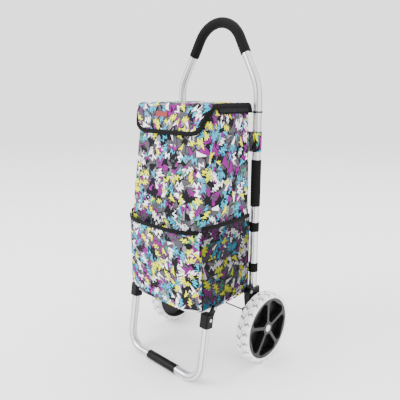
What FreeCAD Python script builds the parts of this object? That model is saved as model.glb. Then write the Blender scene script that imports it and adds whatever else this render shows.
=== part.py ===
import FreeCAD, Part
import math
import os
import re

import Sketcher

# Two-wheeled shopping trolley with a soft bag, a folding base tray and a folding U-shaped stand.
# Millimetres, +Z up, the bag's front faces -Y. The origin lies on the ground, midway between the
# front of the stand's foot and the back of the wheels. Lengths along Y are stated from the wheel
# axis, which lies at axle_y.

SIZES = {
    # wheels
    "wheel_diameter": 200, "tyre_width": 38.6, "tyre_thickness": 12.3, "tyre_shoulder": 7,
    "tyre_standoff": 0.65, "barrel_thickness": 3.6, "barrel_inset": 3, "rim_inset": 1.6, "rim_lip": 7.5,
    "rim_face": 8, "rim_web": 3, "rim_web_depth": 16, "hub_wall": 5.5, "hub_recess_depth": 11,
    "spoke_count": 5, "spoke_width": 9, "window_corner": 12, "window_hub_gap": 8, "window_bow": 0.55,
    "slit_width": 5, "slit_length": 16, "slit_margin": 4,
    # axle and its small parts
    "axle_diameter": 10, "axle_head_ring": 4, "axle_head": 3, "axle_end": 3, "bush_wall": 2,
    "running_clearance": 0.05, "side_gap": 0.4, "washer_thickness": 2.4, "washer_ring": 6,
    "clip_thickness": 1.5, "clip_ring": 3.5, "clip_clearance": 1, "cap_depth": 6.5, "cap_proud": 0.8,
    # main frame
    "tube_diameter": 23.5, "tube_wall": 1.4, "upright_spacing": 280, "upright_offset": -1.2,
    "upright_bottom": 118, "handle_slant": 28.6, "handle_lean": 2.4, "shoulder_rise": 49.7,
    "shoulder_radius": 110, "crown_radius": 82, "grip_thickness": 2.25, "grip_half_width": 97,
    "sleeve_thickness": 1.95, "sleeve_rise": 31, "sleeve_gap": 18,
    # straps from the uprights to the bag's back
    "strap_thickness": 1.3, "strap_tab": 22, "strap_overlap": 3.75, "printed_strap_drop": 121,
    "printed_strap_width": 54, "upper_strap_drop": 37, "lower_strap_rise": 41.5, "black_strap_width": 26,
    "tie_drop": 19, "tie_width": 4,
    # brackets at the feet of the uprights
    "bracket_wall": 3.75, "bracket_wall_front": 2.55, "bracket_wall_back": 3.45, "bracket_top": 212,
    "bracket_corner": 4, "bracket_knee_front": -37, "bracket_knee_height": 182, "boss_ring": 16,
    "ear_gap": 1.5, "ear_radius": 10.5, "bracket_rivet_height": 160, "rivet_diameter": 6,
    "rivet_head_ring": 1.5, "rivet_head_height": 1.6, "cross_rod_diameter": 4, "cross_rod_y": -22,
    "cross_rod_height": 140, "rod_seat_margin": 6, "rod_seat_height": 16, "rod_end_gap": 1,
    # base tray
    "tray_pivot_y": -28, "tray_pivot_height": 207, "tray_front_inset": 3, "tray_tilt": 2.94,
    "tray_tube_diameter": 14, "tray_tube_wall": 1.2, "tray_inset": 16, "tray_corner": 38,
    "tray_tail": 8, "pin_diameter": 6, "pin_clearance": 0.06, "pin_end_gap": 0.5, "pin_end_play": 0.3,
    "cross_bar_diameter": 6, "rear_bar_y": -85, "front_bar_y": -150,
    # stand
    "foot_reach": 225, "foot_flat_depth": 0.6, "stand_lean": 9.55, "stand_tube_diameter": 22.6,
    "stand_tube_wall": 1.3, "leg_offset": 5.7, "stand_corner": 50, "foot_sleeve_thickness": 1.2,
    "foot_sleeve_length": 118, "cap_wall": 2.2, "cap_corner": 5, "cap_bottom": 152, "cap_length": 36,
    "cap_plug_depth": 33, "cap_rivet_rise": 22.3, "stand_pivot_y": -177, "stand_pivot_height": 210,
    "cap_ear_gap": 1.8, "cap_ear_thickness": 6, "cap_ear_radius": 8, "arm_start": 4, "arm_step": 8,
    "arm_angle": 36.87, "lug_thickness": 4, "lug_width": 14, "lug_drop": 0.85, "lug_radius": 5.5,
    # bag
    "bag_back_gap": 0.5, "bag_wall": 2.5, "floor_gap": 2.5, "skirt_drop": 13.5, "lip_drop": 11,
    "bag_waist": 413, "bag_top": 717, "bag_side_gap": 4, "bag_top_taper": 9, "bag_front": -216,
    "bag_waist_front": -214, "bag_top_front": -176, "bag_skirt": 6, "pin_notch": 12, "lug_notch": 26,
    "rim_band_height": 14, "rim_band_thickness": 1.4, "board_thickness": 2.5, "board_gap": 6,
    "board_back_gap": 26.5, "board_clearance": 0.3, "seam_gap": 0.05, "overshoot": 1,
    # pockets
    "pocket_rise": 1, "pocket_bottom": 220, "pocket_margin": 8, "pocket_bottom_bulge": 6,
    "pocket_top_bulge": 19, "pocket_wall": 2, "pocket_band_height": 7, "side_pocket_top": 424,
    "side_pocket_bottom": 226, "side_pocket_bulge": 8.5, "side_pocket_wall": 1.5,
    "side_pocket_margin": 8, "binding_gap": 0.1, "binding_lip": 0.6,
    # flap
    "flap_gap": 3, "flap_thickness": 3, "flap_side_gap": 2, "flap_hinge_inset": 3, "apron_depth": 65,
    "apron_clearance": 4.5, "apron_flare": 8.5, "apron_inset": 16, "flap_band_height": 8,
    "flap_band_thickness": 5, "skirt_depth": 21, "patch_thickness": 1.2, "patch_width": 60,
    "patch_height": 18, "patch_drop": 44, "label_width": 44, "label_height": 13, "label_thickness": 1,
    "label_drop": 23, "label_offset": -22,
}

# Places that follow from the sizes above.
DERIVED = {
    "wheel_radius": "wheel_diameter / 2",
    "axle_y": "(foot_reach + foot_sleeve_diameter / 2 - wheel_radius) / 2",
    "rim_radius": "wheel_radius - tyre_thickness",
    "tube_radius": "tube_diameter / 2",
    "upright_x": "upright_spacing / 2",
    "grip_diameter": "tube_diameter + 2 * grip_thickness",
    "sleeve_diameter": "tube_diameter + 2 * sleeve_thickness",
    "bracket_width": "tube_diameter + 2 * bracket_wall",
    "bracket_front": "upright_offset - tube_radius - bracket_wall_front",
    "bracket_back": "upright_offset + tube_radius + bracket_wall_back",
    "bracket_outer": "upright_x + bracket_width / 2",
    "bracket_inner": "upright_x - bracket_width / 2",
    "boss_diameter": "axle_diameter + 2 * boss_ring",
    "hub_inner": "bracket_outer + washer_thickness + side_gap",
    "wheel_x": "hub_inner + tyre_standoff + tyre_width / 2",
    "wheel_face": "wheel_x + tyre_width / 2 - rim_inset / 2",
    "hub_recess_floor": "wheel_face - hub_recess_depth",
    "clip_diameter": "axle_diameter + 2 * clip_ring",
    "hub_recess_diameter": "clip_diameter + 2 * clip_clearance",
    "hub_diameter": "hub_recess_diameter + 2 * hub_wall",
    "bush_radius": "axle_diameter / 2 + bush_wall",
    "bag_half_width": "upright_x - bag_side_gap",
    "bag_top_half_width": "bag_half_width - bag_top_taper",
    "bag_back": "bracket_front - bag_back_gap",
    "bag_floor": "tray_pivot_height + tray_tube_diameter / 2 + floor_gap",
    "bag_skirt_bottom": "bag_floor - skirt_drop",
    "bag_lip_bottom": "bag_floor - lip_drop",
    "shoulder_height": "bag_top + shoulder_rise",
    "printed_strap_bottom": "bag_top - printed_strap_drop",
    "upper_strap_bottom": "bag_waist - upper_strap_drop",
    "lower_strap_bottom": "bag_floor + lower_strap_rise",
    "tie_bottom": "bag_top - tie_drop",
    "sleeve_bottom": "bag_waist + sleeve_rise",
    "sleeve_length": "printed_strap_bottom - sleeve_gap - sleeve_bottom",
    "ear_inner": "bag_half_width + ear_gap",
    "tray_rail_x": "bag_half_width - tray_inset",
    "tray_front": "bag_front + tray_front_inset",
    "pin_radius": "pin_diameter / 2",
    "tray_slope": "tan(tray_tilt)",
    "foot_sleeve_diameter": "stand_tube_diameter + 2 * foot_sleeve_thickness",
    "foot_height": "foot_sleeve_diameter / 2 - foot_flat_depth",
    "stand_leg_x": "bag_half_width + leg_offset",
    "cap_size": "stand_tube_diameter + 2 * cap_wall",
    "side_pocket_inner": "bag_half_width + binding_gap",
    "side_pocket_outer": "side_pocket_inner + side_pocket_bulge",
    "cap_ear_inner": "side_pocket_outer + cap_ear_gap",
    "pocket_half_width": "bag_half_width - pocket_margin",
    "pocket_top": "bag_waist + pocket_rise",
    "pocket_foot_front": "bag_front - pocket_bottom_bulge",
    "pocket_mouth_front": "bag_waist_front - pocket_top_bulge",
    "flap_bottom": "bag_top + flap_gap",
    "flap_half_width": "bag_top_half_width + flap_thickness + flap_side_gap",
    "flap_back": "bag_back - flap_hinge_inset",
    "apron_bottom": "flap_bottom - apron_depth",
    "apron_top_front": "bag_top_front - apron_clearance",
    "apron_bottom_front": "apron_top_front - apron_flare",
    "apron_half_width": "flap_half_width - apron_inset",
    "patch_centre": "flap_bottom - patch_drop",
    "label_centre": "flap_bottom - label_drop",
}

NAMES = sorted([*SIZES, *DERIVED], key=len, reverse=True)
TURN = {
    "X": FreeCAD.Rotation(FreeCAD.Vector(0, 1, 0), 90),
    "Y": FreeCAD.Rotation(FreeCAD.Vector(1, 0, 0), -90),
    "Z": FreeCAD.Rotation(),
}
SIDES = {"left": -1, "right": 1}

doc = FreeCAD.newDocument("shopping_trolley")
dims = doc.addObject("Spreadsheet::Sheet", "dims")
for row, (alias, size) in enumerate(SIZES.items(), start=1):
    dims.set(f"A{row}", alias)
    dims.set(f"B{row}", str(size))
    dims.setAlias(f"B{row}", alias)
doc.recompute()

nodes = []


# ---- helpers ---------------------------------------------------------------------------------

def ex(text):
    """Spell out a formula of size names as an expression on the sheet."""
    words = re.compile(r"\b(" + "|".join(NAMES) + r")\b")

    def spelled(match):
        name = match.group(1)
        return f"({ex(DERIVED[name])})" if name in DERIVED else f"dims.{name}"

    return words.sub(spelled, str(text))


def value(text):
    """The number that a formula of size names gives."""
    return float(dims.evalExpression(ex(text)))


def bind(piece, **formulas):
    for prop, formula in formulas.items():
        piece.setExpression(prop, ex(formula))
    return piece


def put(piece, at, turn=TURN["Z"]):
    """Place a piece at X, Y and Z, with Y counted from the wheel axis."""
    piece.Placement = FreeCAD.Placement(FreeCAD.Vector(), turn)
    for axis, formula in zip("xyz", (at[0], f"axle_y + ({at[1]})", at[2])):
        piece.setExpression(f"Placement.Base.{axis}", ex(formula))
    return piece


def cylinder(name, radius, length, at, along="X"):
    piece = doc.addObject("Part::Cylinder", name)
    bind(piece, Radius=radius, Height=length)
    return put(piece, at, TURN[along])


def box(name, size, at):
    piece = doc.addObject("Part::Box", name)
    bind(piece, Length=size[0], Width=size[1], Height=size[2])
    return put(piece, at)


def taper(name, bottom, top):
    """Tapered block between two level rectangles, each (low x, high x, front y, back y, z)."""
    piece = doc.addObject("Part::Wedge", name)
    bind(piece, Xmin=bottom[0], Xmax=bottom[1], Zmin=f"-({bottom[3]})", Zmax=f"-({bottom[2]})",
         Ymin=bottom[4])
    bind(piece, X2min=top[0], X2max=top[1], Z2min=f"-({top[3]})", Z2max=f"-({top[2]})", Ymax=top[4])
    return put(piece, (0, 0, 0), FreeCAD.Rotation(FreeCAD.Vector(1, 0, 0), 90))


def rounded(name, block, radius, chosen):
    """Fillet the upright edges of a block that a test of their X and Y picks out."""
    doc.recompute()
    centre = block.Shape.BoundBox.Center
    picked = []
    for index, edge in enumerate(block.Shape.Edges, start=1):
        start, end = edge.Vertexes[0].Point, edge.Vertexes[-1].Point
        if abs(start.z - end.z) > value("overshoot") and chosen(start - centre):
            picked.append((index, value(radius), value(radius)))
    fillet = doc.addObject("Part::Fillet", name)
    fillet.Base = block
    fillet.Edges = picked
    return fillet


def fuse(name, *pieces):
    joined = doc.addObject("Part::MultiFuse", name)
    joined.Shapes = list(pieces)
    return joined


def cut(name, base, *tools):
    tool = tools[0] if len(tools) == 1 else fuse(f"{name}_tools", *tools)
    rest = doc.addObject("Part::Cut", name)
    rest.Base = base
    rest.Tool = tool
    return rest


def group(name, *pieces):
    """Separate solids in one node."""
    together = doc.addObject("Part::Compound", name)
    together.Links = list(pieces)
    return together


def mirrored(name, source):
    copy = doc.addObject("Part::Mirroring", name)
    copy.Source = source
    copy.Normal = FreeCAD.Vector(1, 0, 0)
    return copy


def node(label, piece):
    """Name a finished sub-part; its label names its file."""
    piece.Label = label
    nodes.append(piece)
    return piece


def node_pair(label, piece):
    """A right-hand piece and its mirror image."""
    node(f"{label}_right", piece)
    node(f"{label}_left", mirrored(f"{piece.Name}_mirror", piece))


def rounded_path(points, radii):
    """Wire of straight runs joined by tangent arcs, one radius for each inner point."""
    edges = []
    start = points[0]
    for corner, after, radius in zip(points[1:-1], points[2:], radii):
        back = (start - corner).normalize()
        onward = (after - corner).normalize()
        half_turn = (math.pi - back.getAngle(onward)) / 2
        arc_start = corner + back * (radius * math.tan(half_turn))
        arc_end = corner + onward * (radius * math.tan(half_turn))
        middle = corner + (back + onward).normalize() * (radius / math.cos(half_turn) - radius)
        edges.append(Part.LineSegment(start, arc_start).toShape())
        edges.append(Part.Arc(arc_start, middle, arc_end).toShape())
        start = arc_end
    edges.append(Part.LineSegment(start, points[-1]).toShape())
    return Part.Wire(edges)


def swept(name, path, radius):
    """Solid round bar along a path object."""
    first = path.Shape.Edges[0]
    ring = doc.addObject("Part::Circle", f"{name}_ring")
    bind(ring, Radius=radius)
    along = first.tangentAt(first.FirstParameter)
    turn = FreeCAD.Rotation(FreeCAD.Vector(0, 0, 1), along)
    ring.Placement = FreeCAD.Placement(first.valueAt(first.FirstParameter), turn)
    bar = doc.addObject("Part::Sweep", name)
    bar.Sections = [ring]
    bar.Spine = (path, [f"Edge{i + 1}" for i in range(len(path.Shape.Edges))])
    bar.Solid = True
    bar.Frenet = True
    return bar


def path_object(name, wire):
    path = doc.addObject("Part::Feature", name)
    path.Shape = wire
    return path


def body_sketch(body, name, plane):
    sketch = body.newObject("Sketcher::SketchObject", name)
    origin_plane = next(f for f in body.Origin.OriginFeatures if f.Role == plane)
    sketch.AttachmentSupport = [(origin_plane, "")]
    sketch.MapMode = "FlatFace"
    return sketch


def outline(sketch, points):
    """Closed polygon whose corners are bound to pairs of formulas."""
    corners = [FreeCAD.Vector(value(a), value(b), 0) for a, b in points]
    count = len(corners)
    for i in range(count):
        sketch.addGeometry(Part.LineSegment(corners[i], corners[(i + 1) % count]), False)
    for i in range(count):
        sketch.addConstraint(Sketcher.Constraint("Coincident", i, 2, (i + 1) % count, 1))
    for i, (corner, formulas) in enumerate(zip(corners, points)):
        for kind, length, formula in zip(("DistanceX", "DistanceY"), corner, formulas):
            ends = (-1, 1, i, 1) if length >= 0 else (i, 1, -1, 1)
            sign = "" if length >= 0 else "-"
            index = sketch.addConstraint(Sketcher.Constraint(kind, *ends, abs(length)))
            sketch.setExpression(f"Constraints[{index}]", f"{sign}({ex(formula)})")


def finish_body(label, body, x, z, turn=TURN["Z"]):
    put(body, (x, 0, z), turn)
    return node(label, body)


# ---- main frame ------------------------------------------------------------------------------

def handle_points():
    """Foot, shoulder and peak of the right half; the peak is where the two slanted runs would meet."""
    slant = math.radians(value("handle_slant"))
    lean = math.radians(value("handle_lean"))
    half = value("upright_x")
    rise = half / math.tan(slant)
    shoulder_height = value("shoulder_height")
    y = value("axle_y + upright_offset")
    foot = FreeCAD.Vector(half, y, value("upright_bottom"))
    shoulder = FreeCAD.Vector(half, y, shoulder_height)
    peak = FreeCAD.Vector(0, y + rise * math.sin(lean), shoulder_height + rise * math.cos(lean))
    return foot, shoulder, peak


def opposite(point):
    return FreeCAD.Vector(-point.x, point.y, point.z)


def make_frame():
    foot, shoulder, peak = handle_points()
    bend = value("shoulder_radius")
    crown = value("crown_radius")
    route = [foot, shoulder, peak, opposite(shoulder), opposite(foot)]
    path = path_object("frame_path", rounded_path(route, [bend, crown, bend]))
    tube = cut("frame_tube", swept("frame_outside", path, "tube_radius"),
               swept("frame_bore", path, "tube_radius - tube_wall"))
    grip_start = shoulder + (peak - shoulder) * (1 - value("grip_half_width") / shoulder.x)
    grip_path = path_object("grip_path", rounded_path([grip_start, peak, opposite(grip_start)], [crown]))
    grip = cut("grip", swept("grip_outside", grip_path, "grip_diameter / 2"),
               swept("grip_bore", grip_path, "tube_radius"))
    holes = [cylinder(f"frame_rivet_hole_{side}", "rivet_diameter / 2",
                      "bracket_width + 2 * overshoot",
                      (f"{sign} * upright_x - bracket_width / 2 - overshoot", "upright_offset",
                       "bracket_rivet_height"))
             for side, sign in SIDES.items()]
    node("main_frame_tube", cut("drilled_frame_tube", tube, *holes))
    node("handle_grip", grip)


def upright_ring(name, radius, bottom, height):
    at = ("upright_x", "upright_offset", bottom)
    return cylinder(name, radius, height, at, "Z")


def make_sleeves():
    outside = upright_ring("sleeve_outside", "sleeve_diameter / 2", "sleeve_bottom", "sleeve_length")
    bore = upright_ring("sleeve_bore", "tube_radius", "sleeve_bottom - overshoot",
                        "sleeve_length + 2 * overshoot")
    sleeve = cut("sleeve", outside, bore)
    node_pair("upright_sleeve", sleeve)


def make_strap(label, bottom, width):
    """Loop round the upright with a tab that is sewn to the bag's back."""
    loop = upright_ring(f"{label}_loop", "tube_radius + strap_thickness", bottom, width)
    reach = "(tube_radius - strap_overlap)"
    tab = box(f"{label}_tab", ("strap_tab", f"upright_offset - {reach} - bag_back", width),
              (f"upright_x - {reach} - strap_tab", "bag_back", bottom))
    bore = upright_ring(f"{label}_bore", "tube_radius", f"{bottom} - overshoot", f"{width} + 2 * overshoot")
    node_pair(label, cut(f"{label}_piece", fuse(f"{label}_whole", loop, tab), bore))


# ---- brackets, axles and pivot pins ----------------------------------------------------------

def make_bracket():
    x = "bracket_inner"
    square = box("bracket_square", ("bracket_width", "bracket_back - bracket_front",
                                    "bracket_top - wheel_radius"), (x, "bracket_front", "wheel_radius"))
    block = rounded("bracket_block", square, "bracket_corner", lambda corner: corner.y > 0)
    boss = cylinder("bracket_boss", "boss_diameter / 2", "bracket_width", (x, 0, "wheel_radius"))
    gusset = doc.addObject("PartDesign::Body", "bracket_gusset")
    sketch = body_sketch(gusset, "gusset_profile", "YZ_Plane")
    seat_front = "cross_rod_y - rod_seat_margin"
    seat_bottom = "cross_rod_height - rod_seat_height / 2"
    inside = "bracket_front + overshoot"
    outline(sketch, [(inside, "wheel_radius"), (inside, "bracket_top"),
                     ("tray_pivot_y", "tray_pivot_height + ear_radius"),
                     ("tray_pivot_y - ear_radius", "tray_pivot_height"),
                     ("bracket_knee_front", "bracket_knee_height"),
                     (seat_front, seat_bottom), ("bracket_front", "wheel_radius + overshoot")])
    pad = gusset.newObject("PartDesign::Pad", "gusset_pad")
    pad.Profile = sketch
    bind(pad, Length="bracket_outer - ear_inner")
    put(gusset, ("ear_inner", 0, 0))
    ear = cylinder("bracket_ear", "ear_radius", "bracket_outer - ear_inner",
                   ("ear_inner", "tray_pivot_y", "tray_pivot_height"))
    rod_seat = box("rod_seat", ("ear_inner - bracket_inner + overshoot",
                                f"bracket_front + overshoot - ({seat_front})", "rod_seat_height"),
                   (x, seat_front, seat_bottom))
    whole = fuse("bracket_whole", block, boss, gusset, ear, rod_seat)
    socket = upright_ring("bracket_socket", "tube_radius", "upright_bottom", "bracket_top")
    through = "bracket_width + 2 * overshoot"
    start = f"{x} - overshoot"
    bores = [
        cylinder("bracket_axle_bore", "axle_diameter / 2", through, (start, 0, "wheel_radius")),
        cylinder("bracket_pin_bore", "pin_radius", through, (start, "tray_pivot_y", "tray_pivot_height")),
        cylinder("bracket_rivet_bore", "rivet_diameter / 2", through,
                 (start, "upright_offset", "bracket_rivet_height")),
        cylinder("bracket_rod_bore", "cross_rod_diameter / 2", "bracket_width / 2",
                 (start, "cross_rod_y", "cross_rod_height")),
    ]
    node_pair("rear_bracket", cut("bracket", whole, socket, *bores))
    rod_reach = "upright_x - rod_end_gap"
    node("cross_rod", cylinder("cross_rod_bar", "cross_rod_diameter / 2", f"2 * ({rod_reach})",
                               (f"-({rod_reach})", "cross_rod_y", "cross_rod_height")))


def rivet(name, reach_in, reach_out, at_y, at_z, diameter="rivet_diameter"):
    """Shank along X with a flat head at each end."""
    shank = cylinder(f"{name}_shank", f"{diameter} / 2", f"{reach_out} - ({reach_in})",
                     (reach_in, at_y, at_z))
    head_radius = f"{diameter} / 2 + rivet_head_ring"
    head = cylinder(f"{name}_head", head_radius, "rivet_head_height", (reach_out, at_y, at_z))
    tail = cylinder(f"{name}_tail", head_radius, "rivet_head_height",
                    (f"{reach_in} - rivet_head_height", at_y, at_z))
    return fuse(name, shank, head, tail)


def rivet_pair(label, name, *args):
    right = rivet(name, *args)
    node(label, group(f"{name}_pair", right, mirrored(f"{name}_mirror", right)))


def make_fixings():
    rivet_pair("bracket_rivets", "bracket_rivet", "bracket_inner", "bracket_outer", "upright_offset",
               "bracket_rivet_height")
    rivet_pair("tray_pivot_pins", "tray_pin", "tray_rail_x - tray_tube_diameter / 2 - pin_end_gap",
               "bracket_outer", "tray_pivot_y", "tray_pivot_height", "pin_diameter")
    axle = fuse("axle", cylinder("axle_shank", "axle_diameter / 2",
                                 "hub_recess_floor + axle_end - bracket_inner",
                                 ("bracket_inner", 0, "wheel_radius")),
                cylinder("axle_head_disc", "axle_diameter / 2 + axle_head_ring", "axle_head",
                         ("bracket_inner - axle_head", 0, "wheel_radius")))
    node_pair("wheel_axle", axle)
    washer = cut("washer", cylinder("washer_disc", "axle_diameter / 2 + washer_ring", "washer_thickness",
                                    ("bracket_outer", 0, "wheel_radius")),
                 cylinder("washer_bore", "axle_diameter / 2", "washer_thickness + 2 * overshoot",
                          ("bracket_outer - overshoot", 0, "wheel_radius")))
    clip = cut("clip", cylinder("clip_disc", "clip_diameter / 2", "clip_thickness",
                                ("hub_recess_floor + side_gap", 0, "wheel_radius")),
               cylinder("clip_bore", "axle_diameter / 2", "clip_thickness + 2 * overshoot",
                        ("hub_recess_floor + side_gap - overshoot", 0, "wheel_radius")))
    node("axle_washers", group("washer_pair", washer, mirrored("washer_mirror", washer)))
    node("axle_clips", group("clip_pair", clip, mirrored("clip_mirror", clip)))


# ---- wheels ----------------------------------------------------------------------------------

def make_rim(side, turn):
    """Moulded rim: barrel, back web, five-spoke face and hub, about X, with its outer face at +X."""
    body = doc.addObject("PartDesign::Body", f"rim_{side}")
    face = "wheel_face - wheel_x"
    back = "hub_inner - wheel_x"
    barrel_back = "-(tyre_width / 2 - barrel_inset)"
    barrel_in = "rim_radius - barrel_thickness"
    web = f"{face} - rim_face - rim_web_depth"
    profile = body_sketch(body, f"rim_profile_{side}", "XZ_Plane")
    outline(profile, [
        (back, "bush_radius"), (back, "hub_diameter / 2"), (web, "hub_diameter / 2"),
        (web, barrel_in), (barrel_back, barrel_in), (barrel_back, "rim_radius"),
        (face, "rim_radius"), (face, "hub_recess_diameter / 2"),
        (f"{face} - hub_recess_depth", "hub_recess_diameter / 2"),
        (f"{face} - hub_recess_depth", "bush_radius")])
    turned = body.newObject("PartDesign::Revolution", f"rim_turned_{side}")
    turned.Profile = profile
    turned.ReferenceAxis = (profile, ["H_Axis"])
    turned.Angle = 360
    doc.recompute()

    windows = body_sketch(body, f"rim_window_{side}", "YZ_Plane")
    bind_offset(windows, f"{face} + overshoot")
    half_step = "180 / spoke_count"
    inner = "hub_diameter / 2 + window_hub_gap"
    outer = "rim_radius - rim_lip"
    edge = "spoke_width / 2"
    outline(windows, window_points(inner, outer, edge, half_step))
    pocket = body.newObject("PartDesign::Pocket", f"rim_pocket_{side}")
    pocket.Profile = windows
    bind(pocket, Length="overshoot + rim_face + rim_web_depth - rim_web")
    doc.recompute()
    before = turned.Shape.Volume
    if pocket.Shape.Volume >= before:
        pocket.Reversed = True
        doc.recompute()
    if pocket.Shape.Volume >= before:
        raise RuntimeError("the rim's window removes nothing")
    spokes = body.newObject("PartDesign::PolarPattern", f"rim_spokes_{side}")
    spokes.Originals = [pocket]
    spokes.Axis = (windows, ["N_Axis"])
    spokes.Angle = 360
    bind(spokes, Occurrences="spoke_count")
    body.Tip = spokes
    doc.recompute()

    slit = body_sketch(body, f"rim_slit_{side}", "YZ_Plane")
    bind_offset(slit, f"{web} - overshoot")
    top = "rim_radius - barrel_thickness - slit_margin"
    outline(slit, [("-slit_length / 2", f"{top} - slit_width"), ("slit_length / 2", f"{top} - slit_width"),
                   ("slit_length / 2", top), ("-slit_length / 2", top)])
    opened = body.newObject("PartDesign::Pocket", f"rim_slit_pocket_{side}")
    opened.Profile = slit
    opened.Reversed = True
    bind(opened, Length="rim_web + 2 * overshoot")
    doc.recompute()
    if opened.Shape.Volume >= spokes.Shape.Volume:
        raise RuntimeError("the rim's slit removes nothing")
    slits = body.newObject("PartDesign::PolarPattern", f"rim_slits_{side}")
    slits.Originals = [opened]
    slits.Axis = (slit, ["N_Axis"])
    slits.Angle = 360
    bind(slits, Occurrences="spoke_count")
    body.Tip = slits
    doc.recompute()

    corners = window_corner_edges(slits.Shape, value(inner), value(outer))
    rounds = body.newObject("PartDesign::Fillet", f"rim_rounds_{side}")
    rounds.Base = (slits, corners)
    bind(rounds, Radius="window_corner")
    body.Tip = rounds
    spoke_up = FreeCAD.Rotation(FreeCAD.Vector(1, 0, 0), 180 / value("spoke_count"))
    finish_body(f"rim_{side}", body, f"{SIDES[side]} * wheel_x", "wheel_radius", turn.multiply(spoke_up))


def bind_offset(sketch, formula):
    """Lift a sketch off its plane along the plane's normal."""
    sketch.setExpression("AttachmentOffset.Base.z", ex(formula))


def window_points(inner, outer, edge, half_step):
    """Window between two spokes, about the upward direction: two spoke sides and a bowed rim side."""
    narrow = f"({inner}) * sin({half_step}) - ({edge}) / cos({half_step})"
    wide_angle = f"({half_step} - asin(({edge}) / ({outer})) / 1deg)"
    shoulder = f"{wide_angle} * window_bow"
    return [
        (f"-({narrow})", f"({inner}) * cos({half_step})"), (narrow, f"({inner}) * cos({half_step})"),
        (f"({outer}) * sin({wide_angle})", f"({outer}) * cos({wide_angle})"),
        (f"({outer}) * sin({shoulder})", f"({outer}) * cos({shoulder})"),
        (f"-({outer}) * sin({shoulder})", f"({outer}) * cos({shoulder})"),
        (f"-({outer}) * sin({wide_angle})", f"({outer}) * cos({wide_angle})")]


def window_corner_edges(shape, inner, outer):
    """Names of the edges along X at the windows' outer corners."""
    names = []
    step = 360 / value("spoke_count")
    for index, edge in enumerate(shape.Edges, start=1):
        start, end = edge.Vertexes[0].Point, edge.Vertexes[-1].Point
        straight = abs(start.y - end.y) < 1e-6 and abs(start.z - end.z) < 1e-6
        radius = math.hypot(start.y, start.z)
        turn = math.degrees(math.atan2(start.y, start.z)) % step
        by_spoke = abs(turn - step / 2) * math.radians(outer) < value("spoke_width")
        if straight and abs(radius - outer) < value("seam_gap") and by_spoke:
            names.append(f"Edge{index}")
    return names


def make_wheel(side):
    sign = SIDES[side]
    turn = FreeCAD.Rotation(FreeCAD.Vector(0, 0, 1), 0 if sign > 0 else 180)
    left_edge = f"{sign} * wheel_x - tyre_width / 2"
    disc = cylinder(f"tyre_disc_{side}", "wheel_radius", "tyre_width", (left_edge, 0, "wheel_radius"))
    shoulders = doc.addObject("Part::Fillet", f"tyre_shoulders_{side}")
    shoulders.Base = disc
    shoulders.Edges = [(1, value("tyre_shoulder"), value("tyre_shoulder")),
                       (3, value("tyre_shoulder"), value("tyre_shoulder"))]
    bore = cylinder(f"tyre_bore_{side}", "rim_radius", "tyre_width + 2 * overshoot",
                    (f"{left_edge} - overshoot", 0, "wheel_radius"))
    node(f"tyre_{side}", cut(f"tyre_ring_{side}", shoulders, bore))
    make_rim(side, turn)
    low = "hub_inner" if sign > 0 else "-hub_recess_floor"
    length = "hub_recess_floor - hub_inner"
    at = (low, 0, "wheel_radius")
    bush = cut(f"bush_{side}", cylinder(f"bush_outside_{side}", "bush_radius", length, at),
               cylinder(f"bush_bore_{side}", "axle_diameter / 2 + running_clearance",
                        f"{length} + 2 * overshoot", (f"{low} - overshoot", 0, "wheel_radius")))
    node(f"hub_bush_{side}", bush)
    low = "wheel_face - cap_depth" if sign > 0 else "-(wheel_face + cap_proud)"
    cap = cylinder(f"cap_disc_{side}", "hub_recess_diameter / 2", "cap_depth + cap_proud",
                   (low, 0, "wheel_radius"))
    node(f"hub_cap_{side}", cap)


# ---- base tray -------------------------------------------------------------------------------

def tray_height(y):
    """Height of the tray tube's centre line at a distance along Y."""
    return f"(tray_pivot_height - (tray_pivot_y - ({y})) * tray_slope)"


def point(x, y, z):
    return FreeCAD.Vector(value(x), value(f"axle_y + ({y})"), value(z))


def make_tray():
    tail = "tray_pivot_y + tray_tail"
    front = "tray_front"
    right = [point("tray_rail_x", tail, tray_height(tail)), point("tray_rail_x", front, tray_height(front))]
    route = [right[0], right[1], opposite(right[1]), opposite(right[0])]
    path = path_object("tray_path", rounded_path(route, [value("tray_corner")] * 2))
    solid = swept("tray_outside", path, "tray_tube_diameter / 2")
    tube = cut("tray_hollow", solid, swept("tray_bore", path, "tray_tube_diameter / 2 - tray_tube_wall"))
    holes = []
    for side, sign in SIDES.items():
        start = f"{sign} * tray_rail_x - tray_tube_diameter"
        holes.append(cylinder(f"tray_pivot_hole_{side}", "pin_radius + pin_clearance", "2 * tray_tube_diameter",
                              (start, "tray_pivot_y", "tray_pivot_height")))
    node("tray_tube", cut("tray_drilled", tube, *holes))
    bars = []
    for label, y in (("rear", "rear_bar_y"), ("front", "front_bar_y")):
        bar = cylinder(f"{label}_bar", "cross_bar_diameter / 2", "2 * tray_rail_x",
                       ("-tray_rail_x", y, tray_height(y)))
        bars.append(cut(f"{label}_bar_fitted", bar, solid))
    node("tray_cross_bars", group("bar_pair", *bars))
    board_front = "bag_front + bag_wall + board_gap"
    board_back = "bag_back - bag_wall - board_back_gap"
    board = box("board", ("2 * (bag_half_width - bag_wall - board_gap)", f"({board_back}) - ({board_front})",
                          "board_thickness"),
                ("-(bag_half_width - bag_wall - board_gap)", board_front,
                 "bag_floor + bag_wall + board_clearance"))
    node("bag_base_board", board)
    make_stand_pivots()


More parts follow.
